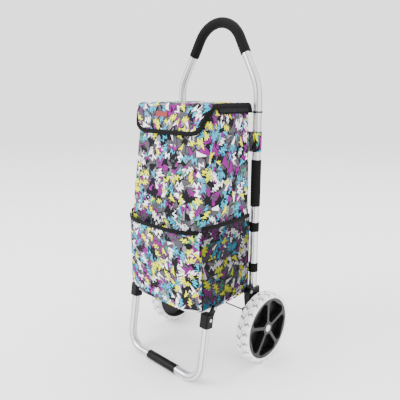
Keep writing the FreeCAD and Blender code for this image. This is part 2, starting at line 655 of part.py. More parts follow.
def make_stand_pivots():
    """Lug welded to each tray rail, and the pin in it that carries the stand beside the bag."""
    rail_side = "(tray_rail_x + tray_tube_diameter / 2)"
    bottom = f"({tray_height('stand_pivot_y')} - lug_drop)"
    plate = box("lug_plate", ("lug_thickness", "lug_width", f"stand_pivot_height - {bottom}"),
                (rail_side, "stand_pivot_y - lug_width / 2", bottom))
    eye = cylinder("lug_eye", "lug_radius", "lug_thickness",
                   (rail_side, "stand_pivot_y", "stand_pivot_height"))
    bore = cylinder("lug_bore", "pin_radius", "lug_thickness + 2 * overshoot",
                    (f"{rail_side} - overshoot", "stand_pivot_y", "stand_pivot_height"))
    node_pair("tray_lug", cut("lug", fuse("lug_whole", plate, eye), bore))
    pin = rivet("stand_pin", rail_side, "cap_ear_inner + cap_ear_thickness + pin_end_play", "stand_pivot_y",
                "stand_pivot_height", "pin_diameter")
    node("stand_pivot_pins", group("stand_pin_pair", pin, mirrored("stand_pin_mirror", pin)))


# ---- stand -----------------------------------------------------------------------------------

def lean(piece):
    """Turn a piece built upright about the foot bar into the leaning stand."""
    piece.Placement = FreeCAD.Placement(FreeCAD.Vector(), FreeCAD.Rotation(FreeCAD.Vector(-1, 0, 0), 1))
    piece.setExpression("Placement.Base.y", ex("axle_y - foot_reach"))
    piece.setExpression("Placement.Base.z", ex("foot_height"))
    piece.setExpression("Placement.Rotation.Angle", ex("stand_lean"))
    return piece


def upright_cylinder(name, radius, length, at, along="X"):
    """Cylinder in the stand's own upright frame."""
    piece = doc.addObject("Part::Cylinder", name)
    bind(piece, Radius=radius, Height=length)
    piece.Placement = FreeCAD.Placement(FreeCAD.Vector(), TURN[along])
    for axis, formula in zip("xyz", at):
        piece.setExpression(f"Placement.Base.{axis}", ex(formula))
    return piece


def make_stand():
    leg_top = "(cap_bottom + cap_plug_depth)"
    top = FreeCAD.Vector(value("stand_leg_x"), 0, value(leg_top))
    corner = FreeCAD.Vector(value("stand_leg_x"), 0, 0)
    route = [top, corner, opposite(corner), opposite(top)]
    path = path_object("stand_path", rounded_path(route, [value("stand_corner")] * 2))
    tube = cut("stand_hollow", swept("stand_outside", path, "stand_tube_diameter / 2"),
               swept("stand_bore", path, "stand_tube_diameter / 2 - stand_tube_wall"))
    rivet_height = "cap_bottom + cap_rivet_rise"
    holes = [upright_cylinder(f"leg_rivet_hole_{side}", "rivet_diameter / 2", "cap_size + 2 * overshoot",
                              (f"{sign} * stand_leg_x - cap_size / 2 - overshoot", 0, rivet_height))
             for side, sign in SIDES.items()]
    node("stand_tube", lean(cut("stand_drilled", tube, *holes)))

    # The pivot, seen from the foot bar in the stand's own upright frame.
    away = "(foot_reach + stand_pivot_y)"
    up = "(stand_pivot_height - foot_height)"
    pivot_y = f"({away} * cos(stand_lean) - {up} * sin(stand_lean))"
    pivot_z = f"({away} * sin(stand_lean) + {up} * cos(stand_lean))"
    square = doc.addObject("Part::Box", "cap_square")
    bind(square, Length="cap_size", Width="cap_size", Height="cap_length")
    for axis, formula in zip("xyz", ("stand_leg_x - cap_size / 2", "-cap_size / 2", "cap_bottom")):
        square.setExpression(f"Placement.Base.{axis}", ex(formula))
    block = rounded("cap_block", square, "cap_corner", lambda corner: True)
    arm = doc.addObject("PartDesign::Body", "cap_arm")
    sketch = body_sketch(arm, "cap_arm_profile", "YZ_Plane")
    cap_top = "(cap_bottom + cap_length)"
    across, along = "cap_ear_radius * cos(arm_angle)", "cap_ear_radius * sin(arm_angle)"
    outline(sketch, [("-cap_size / 2 + arm_start", f"{cap_top} - arm_step"),
                     ("cap_size / 2 - overshoot", f"{cap_top} - arm_step"),
                     (f"{pivot_y} + {across}", f"{pivot_z} - {along}"),
                     (f"{pivot_y} - {along}", f"{pivot_z} + {across}")])
    pad = arm.newObject("PartDesign::Pad", "cap_arm_pad")
    pad.Profile = sketch
    bind(pad, Length="cap_ear_thickness")
    arm.setExpression("Placement.Base.x", ex("cap_ear_inner"))
    eye = upright_cylinder("cap_eye", "cap_ear_radius", "cap_ear_thickness",
                           ("cap_ear_inner", pivot_y, pivot_z))
    socket = upright_cylinder("cap_socket", "stand_tube_diameter / 2", "cap_plug_depth + overshoot",
                              ("stand_leg_x", 0, "cap_bottom - overshoot"), "Z")
    pin_hole = upright_cylinder("cap_pin_hole", "pin_radius + pin_clearance",
                                "cap_ear_thickness + 2 * overshoot",
                                ("cap_ear_inner - overshoot", pivot_y, pivot_z))
    cap_rivet_hole = upright_cylinder("cap_rivet_hole", "rivet_diameter / 2", "cap_size + 2 * overshoot",
                                      ("stand_leg_x - cap_size / 2 - overshoot", 0, rivet_height))
    cap = cut("cap", fuse("cap_whole", block, arm, eye), socket, pin_hole, cap_rivet_hole)
    node_pair("leg_cap", lean(cap))

    head_radius = "rivet_diameter / 2 + rivet_head_ring"
    shank = upright_cylinder("leg_rivet_shank", "rivet_diameter / 2", "cap_size",
                             ("stand_leg_x - cap_size / 2", 0, rivet_height))
    head = upright_cylinder("leg_rivet_head", head_radius, "rivet_head_height",
                            ("stand_leg_x + cap_size / 2", 0, rivet_height))
    tail = upright_cylinder("leg_rivet_tail", head_radius, "rivet_head_height",
                            ("stand_leg_x - cap_size / 2 - rivet_head_height", 0, rivet_height))
    right = lean(fuse("leg_rivet", shank, head, tail))
    node("leg_cap_rivets", group("leg_rivet_pair", right, mirrored("leg_rivet_mirror", right)))
    make_foot_sleeve()


def make_foot_sleeve():
    """Rubber sleeve round the foot bar, with a flat on its underside that stands on the ground."""
    low = "-foot_sleeve_length / 2"
    middle = ("-foot_reach", "foot_height")
    outside = cylinder("foot_sleeve_outside", "foot_sleeve_diameter / 2", "foot_sleeve_length",
                       (low, *middle))
    bore = cylinder("foot_sleeve_bore", "stand_tube_diameter / 2", "foot_sleeve_length + 2 * overshoot",
                    (f"{low} - overshoot", *middle))
    under = box("foot_flat", ("foot_sleeve_length + 2 * overshoot", "2 * foot_sleeve_diameter",
                              "foot_sleeve_diameter"),
                (f"{low} - overshoot", "-foot_reach - foot_sleeve_diameter", "-foot_sleeve_diameter"))
    node("foot_sleeve", cut("foot_sleeve_piece", outside, bore, under))


# ---- bag -------------------------------------------------------------------------------------

def bag_form(name, inset, bottom):
    """The bag's outer form, drawn in by inset on its sides, front and back."""
    low_half = f"(bag_half_width - {inset})"
    top_half = f"(bag_top_half_width - {inset})"
    back = f"bag_back - {inset}"
    lower = taper(f"{name}_lower", (f"-{low_half}", low_half, f"bag_front + {inset}", back, bottom),
                  (f"-{low_half}", low_half, f"bag_waist_front + {inset}", back, "bag_waist"))
    upper = taper(f"{name}_upper",
                  (f"-{low_half}", low_half, f"bag_waist_front + {inset}", back, "bag_waist"),
                  (f"-{top_half}", top_half, f"bag_top_front + {inset}", back, "bag_top"))
    return fuse(name, lower, upper)


def make_bag():
    """Open-topped shell, whose side skirts hide the tray's rails; gives the front of its tape."""
    outside = bag_form("bag_outside", "0", "bag_skirt_bottom")
    inside = bag_form("bag_inside", "bag_wall", "bag_floor + bag_wall")
    hollow_half = "(bag_half_width - bag_skirt)"
    start = "bag_skirt_bottom - overshoot"
    below = box("bag_underside", (f"2 * {hollow_half}", "bag_back + overshoot - (bag_front + bag_wall)",
                                  "skirt_drop + overshoot"),
                (f"-{hollow_half}", "bag_front + bag_wall", start))
    lip = box("bag_front_lip", (f"2 * {hollow_half}", "bag_wall + 2 * overshoot",
                                "bag_lip_bottom - bag_skirt_bottom + overshoot"),
              (f"-{hollow_half}", "bag_front - overshoot", start))
    notches = [box(f"bag_notch_{end}",
                   ("2 * (bag_half_width + overshoot)", width, "skirt_drop + overshoot"),
                   ("-(bag_half_width + overshoot)", f"{y} - {width} / 2", start))
               for end, y, width in (("front", "stand_pivot_y", "lug_notch"),
                                     ("back", "tray_pivot_y", "pin_notch"))]
    node("bag_shell", cut("bag", outside, inside, below, lip, *notches))
    make_rim_binding()
    make_front_pocket()
    make_side_pocket()
    slope = "(bag_top_front - bag_waist_front) / (bag_top - bag_waist)"
    front = f"(bag_waist_front + (patch_centre - patch_height / 2 - bag_waist) * {slope})"
    tape_front = f"({front} - patch_thickness - seam_gap)"
    node("bag_patch", patch("bag_patch_strip", tape_front, "patch_thickness"))
    return tape_front


def patch(name, front, thickness):
    """Upright strip of hook-and-loop tape across the middle of the bag's front."""
    return box(name, ("patch_width", thickness, "patch_height"),
               ("-patch_width / 2", front, "patch_centre - patch_height / 2"))


def make_rim_binding():
    """Bound edge inside the bag's mouth."""
    inset = "(bag_wall + rim_band_thickness)"
    outer_half = "(bag_top_half_width - bag_wall)"
    inner_half = f"(bag_top_half_width - {inset})"
    bottom = "bag_top - rim_band_height"
    front = "(bag_top_front + bag_wall)"
    back = "(bag_back - bag_wall)"
    outer = box("rim_band_outside", (f"2 * {outer_half}", f"{back} - {front}", "rim_band_height"),
                (f"-{outer_half}", front, bottom))
    inner = box("rim_band_inside", (f"2 * {inner_half}", f"bag_back - bag_top_front - 2 * {inset}",
                                    "rim_band_height + 2 * overshoot"),
                (f"-{inner_half}", f"bag_top_front + {inset}", f"{bottom} - overshoot"))
    node("bag_rim_binding", cut("rim_band", outer, inner))


def make_front_pocket():
    half = "pocket_half_width"
    inner_half = "(pocket_half_width - pocket_wall)"
    drop = "(bag_waist_front - bag_front) / (bag_waist - bag_skirt_bottom)"
    foot_back = f"(bag_front + (pocket_bottom - bag_skirt_bottom) * {drop} - seam_gap)"
    mouth_back = "(bag_waist_front - seam_gap)"
    outer = taper("pocket_outside", (f"-{half}", half, "pocket_foot_front", foot_back, "pocket_bottom"),
                  (f"-{half}", half, "pocket_mouth_front", mouth_back, "pocket_top"))
    inner = taper("pocket_inside",
                  (f"-{inner_half}", inner_half, "pocket_foot_front + pocket_wall",
                   f"{foot_back} - overshoot", "pocket_bottom + pocket_wall"),
                  (f"-{inner_half}", inner_half, "pocket_mouth_front + pocket_wall",
                   f"{mouth_back} - overshoot", "pocket_top + overshoot"))
    node("front_pocket", cut("pocket", outer, inner))
    strip = box("pocket_band", (f"2 * {half}", "pocket_wall + 2 * binding_lip", "pocket_band_height"),
                (f"-{half}", "pocket_mouth_front - binding_lip", "pocket_top + binding_gap"))
    node("front_pocket_binding", strip)


def make_side_pocket():
    """Mesh pocket that stands a little proud of the bag's side, open at its top."""
    wall = "side_pocket_wall"
    front = "(bag_waist_front + side_pocket_margin)"
    back = "(bag_back - side_pocket_margin)"
    height = "side_pocket_top - side_pocket_bottom"
    shell = box("side_pocket_shell", ("side_pocket_bulge", f"{back} - {front}", height),
                ("side_pocket_inner", front, "side_pocket_bottom"))
    hollow = box("side_pocket_hollow", (f"side_pocket_bulge - overshoot - {wall}",
                                        f"{back} - {front} - 2 * {wall}", height),
                 ("side_pocket_inner + overshoot", f"{front} + {wall}", f"side_pocket_bottom + {wall}"))
    node_pair("side_pocket", cut("side_pocket", shell, hollow))
    band = box("side_pocket_band", (f"{wall} + 2 * binding_lip", f"{back} - {front}", "pocket_band_height"),
               (f"side_pocket_outer - {wall} - binding_lip", front, "side_pocket_top + binding_gap"))
    node_pair("side_pocket_binding", band)


# ---- flap ------------------------------------------------------------------------------------

def make_flap(tape_front):
    """Top panel that turns down at the front into an apron, which the bag's tape holds shut."""
    half = "flap_half_width"
    top = box("flap_top_panel",
              (f"2 * {half}", "flap_back - (apron_top_front - flap_thickness)", "flap_thickness"),
              (f"-{half}", "apron_top_front - flap_thickness", "flap_bottom"))
    apron = taper("flap_apron",
                  ("-apron_half_width", "apron_half_width", "apron_bottom_front - flap_thickness",
                   "apron_bottom_front", "apron_bottom"),
                  ("-apron_half_width", "apron_half_width", "apron_top_front - flap_thickness",
                   "apron_top_front", "flap_bottom"))
    node("flap_panel", fuse("flap", top, apron))
    side = box("flap_side", ("flap_thickness", "flap_back - apron_top_front", "skirt_depth"),
               (f"{half} - flap_thickness", "apron_top_front", "flap_bottom - skirt_depth"))
    node_pair("flap_side", side)
    band = box("flap_band", ("2 * apron_half_width", "flap_band_thickness", "flap_band_height"),
               ("-apron_half_width", "apron_bottom_front - (flap_band_thickness + flap_thickness) / 2",
                "apron_bottom - flap_band_height - binding_gap"))
    node("flap_binding", band)
    slope = "(apron_top_front - apron_bottom_front) / (flap_bottom - apron_bottom)"
    label_bottom = "(label_centre - label_height / 2)"
    label_y = f"(apron_bottom_front - flap_thickness + ({label_bottom} - apron_bottom) * {slope})"
    label = box("label", ("label_width", "label_thickness", "label_height"),
                ("label_offset - label_width / 2", f"{label_y} - label_thickness - seam_gap", label_bottom))
    node("flap_label", label)
    patch_top = "(patch_centre + patch_height / 2)"
    behind = f"(apron_bottom_front + ({patch_top} - apron_bottom) * {slope})"
    depth = f"{tape_front} - seam_gap - ({behind} + seam_gap)"
    node("flap_patch", patch("flap_patch_strip", f"{behind} + seam_gap", depth))


# ---- checks and export -----------------------------------------------------------------------

def check_document():
    doc.recompute()
    for thing in doc.Objects:
        if {"Invalid", "Error"} & set(thing.State):
            raise RuntimeError(f"{thing.Name} did not compute: {thing.State}")
    for piece in nodes:
        if piece.Shape.isNull() or not piece.Shape.isValid() or not piece.Shape.Solids:
            raise RuntimeError(f"{piece.Label} has no valid solid")
    labels = [piece.Label for piece in nodes]
    if len(set(labels)) != len(labels):
        raise RuntimeError("two sub-parts share a label")


def export():
    os.makedirs("parts", exist_ok=True)
    for piece in nodes:
        piece.Shape.exportStep(os.path.join("parts", f"{piece.Label}.step"))


make_frame()
make_sleeves()
make_strap("printed_strap", "printed_strap_bottom", "printed_strap_width")
make_strap("upper_strap", "upper_strap_bottom", "black_strap_width")
make_strap("lower_strap", "lower_strap_bottom", "black_strap_width")
make_strap("top_tie", "tie_bottom", "tie_width")
make_bracket()
make_fixings()
for wheel_side in SIDES:
    make_wheel(wheel_side)
make_tray()
make_stand()
make_flap(make_bag())
check_document()
export()
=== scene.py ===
"""Looks of a folding shopping trolley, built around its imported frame.

Metres, +Z up. The bag's front faces -Y, the wheels and the handle stand at +Y, and the ground is z = 0.
"""

import logging
import math
from dataclasses import dataclass
from enum import Enum
from typing import Any, Callable, Sequence

import bpy
import numpy as np
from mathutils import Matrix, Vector

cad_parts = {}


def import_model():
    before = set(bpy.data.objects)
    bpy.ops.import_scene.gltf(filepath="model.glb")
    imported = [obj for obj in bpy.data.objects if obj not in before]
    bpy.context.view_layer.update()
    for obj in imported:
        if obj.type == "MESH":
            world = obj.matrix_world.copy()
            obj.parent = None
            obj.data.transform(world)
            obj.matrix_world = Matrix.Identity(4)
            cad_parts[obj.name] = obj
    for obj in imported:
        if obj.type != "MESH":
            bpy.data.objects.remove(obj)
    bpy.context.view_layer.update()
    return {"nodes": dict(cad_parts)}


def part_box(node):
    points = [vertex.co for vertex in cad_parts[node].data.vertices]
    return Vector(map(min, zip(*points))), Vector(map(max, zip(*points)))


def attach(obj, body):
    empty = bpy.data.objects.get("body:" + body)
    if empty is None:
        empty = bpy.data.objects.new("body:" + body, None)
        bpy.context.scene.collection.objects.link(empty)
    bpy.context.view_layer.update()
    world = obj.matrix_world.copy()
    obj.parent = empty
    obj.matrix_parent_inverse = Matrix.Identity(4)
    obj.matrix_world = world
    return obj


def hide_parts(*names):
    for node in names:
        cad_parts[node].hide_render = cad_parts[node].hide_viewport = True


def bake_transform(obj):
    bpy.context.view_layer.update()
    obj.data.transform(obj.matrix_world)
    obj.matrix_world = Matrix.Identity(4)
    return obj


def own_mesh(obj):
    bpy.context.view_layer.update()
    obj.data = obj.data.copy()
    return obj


LOG = logging.getLogger("trolley")
MM = 0.001
WAVE_REPEAT = 6.28  # one band of the wave texture at a scale of 1
THICK_CLOTH, LID_CLOTH, THIN_CLOTH, NETTING = 0.0014, 0.0016, 0.0012, 0.0011
GAUGE_STEPS = 181  # points round a section when its girth is measured
Points = np.ndarray


class Side(Enum):
    """The two sides of the trolley, and the sign of X on each."""

    LEFT = -1
    RIGHT = 1

    @property
    def word(self) -> str:
        """The side's name as the frame's nodes spell it."""
        return self.name.lower()


# ---- materials -------------------------------------------------------------------------------


def colour(code: str) -> tuple[float, float, float, float]:
    """Linear colour from an sRGB hex code such as "#8c8890".

    Args:
        code: A hash sign and two hex digits each of red, green and blue.

    Returns:
        Red, green and blue, and 1 for alpha.
    """
    channels = [int(code[i:i + 2], 16) / 255 for i in (1, 3, 5)]
    linear = [c / 12.92 if c <= 0.04045 else ((c + 0.055) / 1.055) ** 2.4 for c in channels]
    return (*linear, 1.0)


def add(tree: bpy.types.NodeTree, kind: str, *feeds: Any, **settings: Any) -> bpy.types.Node:
    """Add one shader node.

    Args:
        tree: The node tree it joins.
        kind: The node's type name.
        feeds: What goes into its input sockets: one feed for each socket in order, or dictionaries of them
            by the socket's name or number. An output socket is linked, and a constant is set.
        settings: The node's own properties.

    Returns:
        The new node.
    """
    node = tree.nodes.new(kind)
    for name, setting in settings.items():
        setattr(node, name, setting)
    inputs = dict(enumerate(feed for feed in feeds if not isinstance(feed, dict)))
    for named in feeds:
        if isinstance(named, dict):
            inputs |= named
    for socket, feed in inputs.items():
        if isinstance(feed, bpy.types.NodeSocket):
            tree.links.new(feed, node.inputs[socket])
        else:
            node.inputs[socket].default_value = feed
    return node


@dataclass(frozen=True)
class Finish:
    """A finish with a base colour, gloss, and a fine grain that varies both."""

    name: str
    base: str
    shade: str
    roughness: float
    metallic: float = 0.0
    grain_mm: float = 2.0
    grain_height_mm: float = 0.05
    sheen: float = 0.0
    coat: float = 0.0
    ior: float = 1.5
    shine: float = 0.5

    def build(self) -> bpy.types.Material:
        """Make the material once, and hand the same one out again after that.

        Returns:
            The material.
        """
        known = bpy.data.materials.get(self.name)
        if known:
            return known
        material = bpy.data.materials.new(self.name)
        material.use_nodes = True
        tree = material.node_tree
        shader = tree.nodes["Principled BSDF"]
        shader.inputs["Metallic"].default_value = self.metallic
        shader.inputs["Sheen Weight"].default_value = self.sheen
        shader.inputs["Sheen Roughness"].default_value = 0.5
        shader.inputs["Coat Weight"].default_value = self.coat
        if not self.metallic:
            shader.inputs["IOR"].default_value = self.ior
            shader.inputs["Specular IOR Level"].default_value = self.shine
        place = add(tree, "ShaderNodeTexCoord")
        self.dress(tree, shader, place)
        return material

    def dress(self, tree: bpy.types.NodeTree, shader: bpy.types.Node, place: bpy.types.Node) -> None:
        """Colour, roughness and bump from a noise of the finish's own grain size.

        Args:
            tree: The material's node tree.
            shader: The shader that it feeds.
            place: The texture coordinates.
        """
        grain = add(tree, "ShaderNodeTexNoise", {"Scale": 1 / (self.grain_mm * MM), "Detail": 4.0},
                    {"Vector": place.outputs["Object"]})
        cloud = add(tree, "ShaderNodeTexNoise", {"Scale": 22.0, "Detail": 3.0}, {"Vector": place.outputs["Object"]})
        mixed = add(tree, "ShaderNodeMath",
                    add(tree, "ShaderNodeMath", grain.outputs[0], 0.5, operation="MULTIPLY").outputs[0],
                    add(tree, "ShaderNodeMath", cloud.outputs[0], 0.5, operation="MULTIPLY").outputs[0],
                    operation="ADD").outputs[0]
        tree.links.new(self.tint(tree, mixed), shader.inputs["Base Color"])
        gloss = add(tree, "ShaderNodeMapRange", {"To Min": self.roughness - 0.06, "To Max": self.roughness + 0.06},
                    {"Value": cloud.outputs[0]})
        tree.links.new(gloss.outputs[0], shader.inputs["Roughness"])
        self.raise_grain(tree, shader, grain.outputs[0], self.grain_height_mm)

    def tint(self, tree: bpy.types.NodeTree, factor: bpy.types.NodeSocket) -> bpy.types.NodeSocket:
        """Colour between the base and its darker shade.

        Args:
            tree: The material's node tree.
            factor: Where the colour lies between shade and base, from 0 to 1.

        Returns:
            The colour.
        """
        ramp = add(tree, "ShaderNodeValToRGB", {0: factor})
        ramp.color_ramp.elements[0].position = 0.3
        ramp.color_ramp.elements[0].color = colour(self.shade)
        ramp.color_ramp.elements[1].position = 0.7
        ramp.color_ramp.elements[1].color = colour(self.base)
        return ramp.outputs[0]

    def raise_grain(self, tree: bpy.types.NodeTree, shader: bpy.types.Node, height: bpy.types.NodeSocket,
                    depth_mm: float) -> None:
        """Bump of a given depth in millimetres."""
        bump = add(tree, "ShaderNodeBump", {"Strength": 1.0, "Distance": depth_mm * MM}, {"Height": height})
        tree.links.new(bump.outputs[0], shader.inputs["Normal"])


@dataclass(frozen=True)
class RimPlastic(Finish):
    """Moulded polypropylene with painted light and shade: outer faces a paler grey than its recesses."""

    # painted light: paler grey for the outer faces of spokes and lip
    face: str = "#18191b"
    face_x: float = 0.1963

    def tint(self, tree: bpy.types.NodeTree, factor: bpy.types.NodeSocket) -> bpy.types.NodeSocket:
        """Painted light and shade: grey on the outer faces of spokes and lip, near black in the recesses.

        Args:
            tree: The material's node tree.
            factor: Where the colour lies between shade and base, from 0 to 1.

        Returns:
            The colour.
        """
        deep = Finish.tint(self, tree, factor)
        place = add(tree, "ShaderNodeTexCoord")
        spot = add(tree, "ShaderNodeSeparateXYZ", {0: place.outputs["Object"]})
        out = add(tree, "ShaderNodeMath", spot.outputs[0], operation="ABSOLUTE").outputs[0]
        # painted light: outer faces past the threshold take the paler grey; the recesses keep the near black of
        # painted shade
        mask = add(tree, "ShaderNodeMapRange", {"From Min": self.face_x - 0.5 * MM, "From Max": self.face_x},
                   {"Value": out})
        mixed = add(tree, "ShaderNodeMixRGB", {"Color2": colour(self.face)}, {"Fac": mask.outputs[0], "Color1": deep})
        return mixed.outputs[0]


@dataclass(frozen=True)
class FlutedMetal(Finish):
    """Drawn tube with painted shade as darker lines along its lengthwise flutes."""

    radius: float = 0.01175
    flutes: int = 6

    def tint(self, tree: bpy.types.NodeTree, factor: bpy.types.NodeSocket) -> bpy.types.NodeSocket:
        """Painted shade: darker lines along the flutes, by the tube's own UV in metres.

        Args:
            tree: The material's node tree.
            factor: Where the colour lies between shade and base, from 0 to 1.

        Returns:
            The colour.
        """
        plain = Finish.tint(self, tree, factor)
        place = add(tree, "ShaderNodeTexCoord")
        spot = add(tree, "ShaderNodeSeparateXYZ", {0: place.outputs["UV"]})
        wave = add(tree, "ShaderNodeMath",
                   add(tree, "ShaderNodeMath", spot.outputs[1], self.flutes / self.radius,
                       operation="MULTIPLY").outputs[0], operation="COSINE").outputs[0]
        mask = add(tree, "ShaderNodeMapRange", {"From Min": 0.1, "From Max": 0.95, "To Max": 0.75}, {"Value": wave})
        # painted shade: the flute lines are mixed towards dark grey
        return add(tree, "ShaderNodeMixRGB", mask.outputs[0], plain, colour("#77777d")).outputs[0]


@dataclass(frozen=True)
class GroovedFoam(Finish):
    """Foam with painted shade in its tread grooves, which are grey."""

    def tint(self, tree: bpy.types.NodeTree, factor: bpy.types.NodeSocket) -> bpy.types.NodeSocket:
        """Painted shade: grey in the grooves, by a number that the mesh carries at each point.

        Args:
            tree: The material's node tree.
            factor: Where the colour lies between shade and base, from 0 to 1.

        Returns:
            The colour.
        """
        plain = Finish.tint(self, tree, factor)
        painted_shade = add(tree, "ShaderNodeAttribute", attribute_name="painted_shade")
        # painted shade: the grooves are mixed towards grey
        return add(tree, "ShaderNodeMixRGB", painted_shade.outputs["Fac"], plain, colour("#7d7d82")).outputs[0]


INK = "#08070c"
GREY, PALE, NAVY, PLUM, SKY, LEMON, WHITE, MINT = (
    "#4b4850", "#7c7982", "#08080f", "#780f73", "#289cbc", "#dce000", "#f6f5f8", "#38806a")


def chosen_colour(tree: bpy.types.NodeTree, luck: bpy.types.NodeSocket,
                  palette: Sequence[tuple[float, str]]) -> bpy.types.NodeSocket:
    """Colour picked from a palette of (share, hex code) by a number from 0 to 1.

    Args:
        tree: The material's node tree.
        luck: The number.
        palette: The colours and their shares.

    Returns:
        The colour.
    """
    ramp = add(tree, "ShaderNodeValToRGB", {0: luck})
    ramp.color_ramp.interpolation = "CONSTANT"
    whole = sum(share for share, _ in palette)
    ramp.color_ramp.elements.remove(ramp.color_ramp.elements[1])
    ramp.color_ramp.elements[0].position = 0.0
    ramp.color_ramp.elements[0].color = colour(palette[0][1])
    reached = 0.0
    for (share, _), (_, code) in zip(palette, palette[1:]):
        reached += share / whole
        ramp.color_ramp.elements.new(reached).color = colour(code)
    return ramp.outputs[0]


@dataclass(frozen=True)
class Splinters:
    """One layer of the print: a share of long, thin, straight-sided pieces with dark outlines."""

    palette: tuple[tuple[float, str], ...]
    cell_mm: float
    turn_deg: float
    stretch: float
    seed: float
    density: float = 1.0
    edge: float = 0.035

    def paint(self, tree: bpy.types.NodeTree, place: bpy.types.NodeSocket,
              under: bpy.types.NodeSocket) -> bpy.types.NodeSocket:
        """Lay this layer over a colour.

        Args:
            tree: The material's node tree.
            place: Position on the cloth, in metres.
            under: Colour that this layer covers.

        Returns:
            The colour with this layer on it.
        """
        scale = 1000 / self.cell_mm
        moved = add(tree, "ShaderNodeMapping", {
            "Location": (self.seed, self.seed * 0.7, 0), "Rotation": (0, 0, math.radians(self.turn_deg)),
            "Scale": (scale, scale / self.stretch, 1)}, {0: place}).outputs[0]
        cells = add(tree, "ShaderNodeTexVoronoi", {"Scale": 1.0}, {"Vector": moved}, voronoi_dimensions="2D")
        border = add(tree, "ShaderNodeTexVoronoi", {"Scale": 1.0}, {"Vector": moved}, voronoi_dimensions="2D",
                     feature="DISTANCE_TO_EDGE").outputs["Distance"]
        luck = add(tree, "ShaderNodeSeparateColor", {0: cells.outputs["Color"]}).outputs
        shown = add(tree, "ShaderNodeMath", luck[1], self.density, operation="LESS_THAN").outputs[0]
        inner = add(tree, "ShaderNodeMath", shown,
                    add(tree, "ShaderNodeMath", border, self.edge, operation="GREATER_THAN").outputs[0],
                    operation="MULTIPLY").outputs[0]
        inked = add(tree, "ShaderNodeMixRGB", shown, under, colour(INK)).outputs[0]
        return add(tree, "ShaderNodeMixRGB", inner, inked, chosen_colour(tree, luck[0], self.palette)).outputs[0]


class Motif(Enum):
    """Shapes of the print's scattered pieces."""

    STAR = "star"
    BOLT = "bolt"
    SHARD = "shard"
    ZIGZAG = "zigzag"


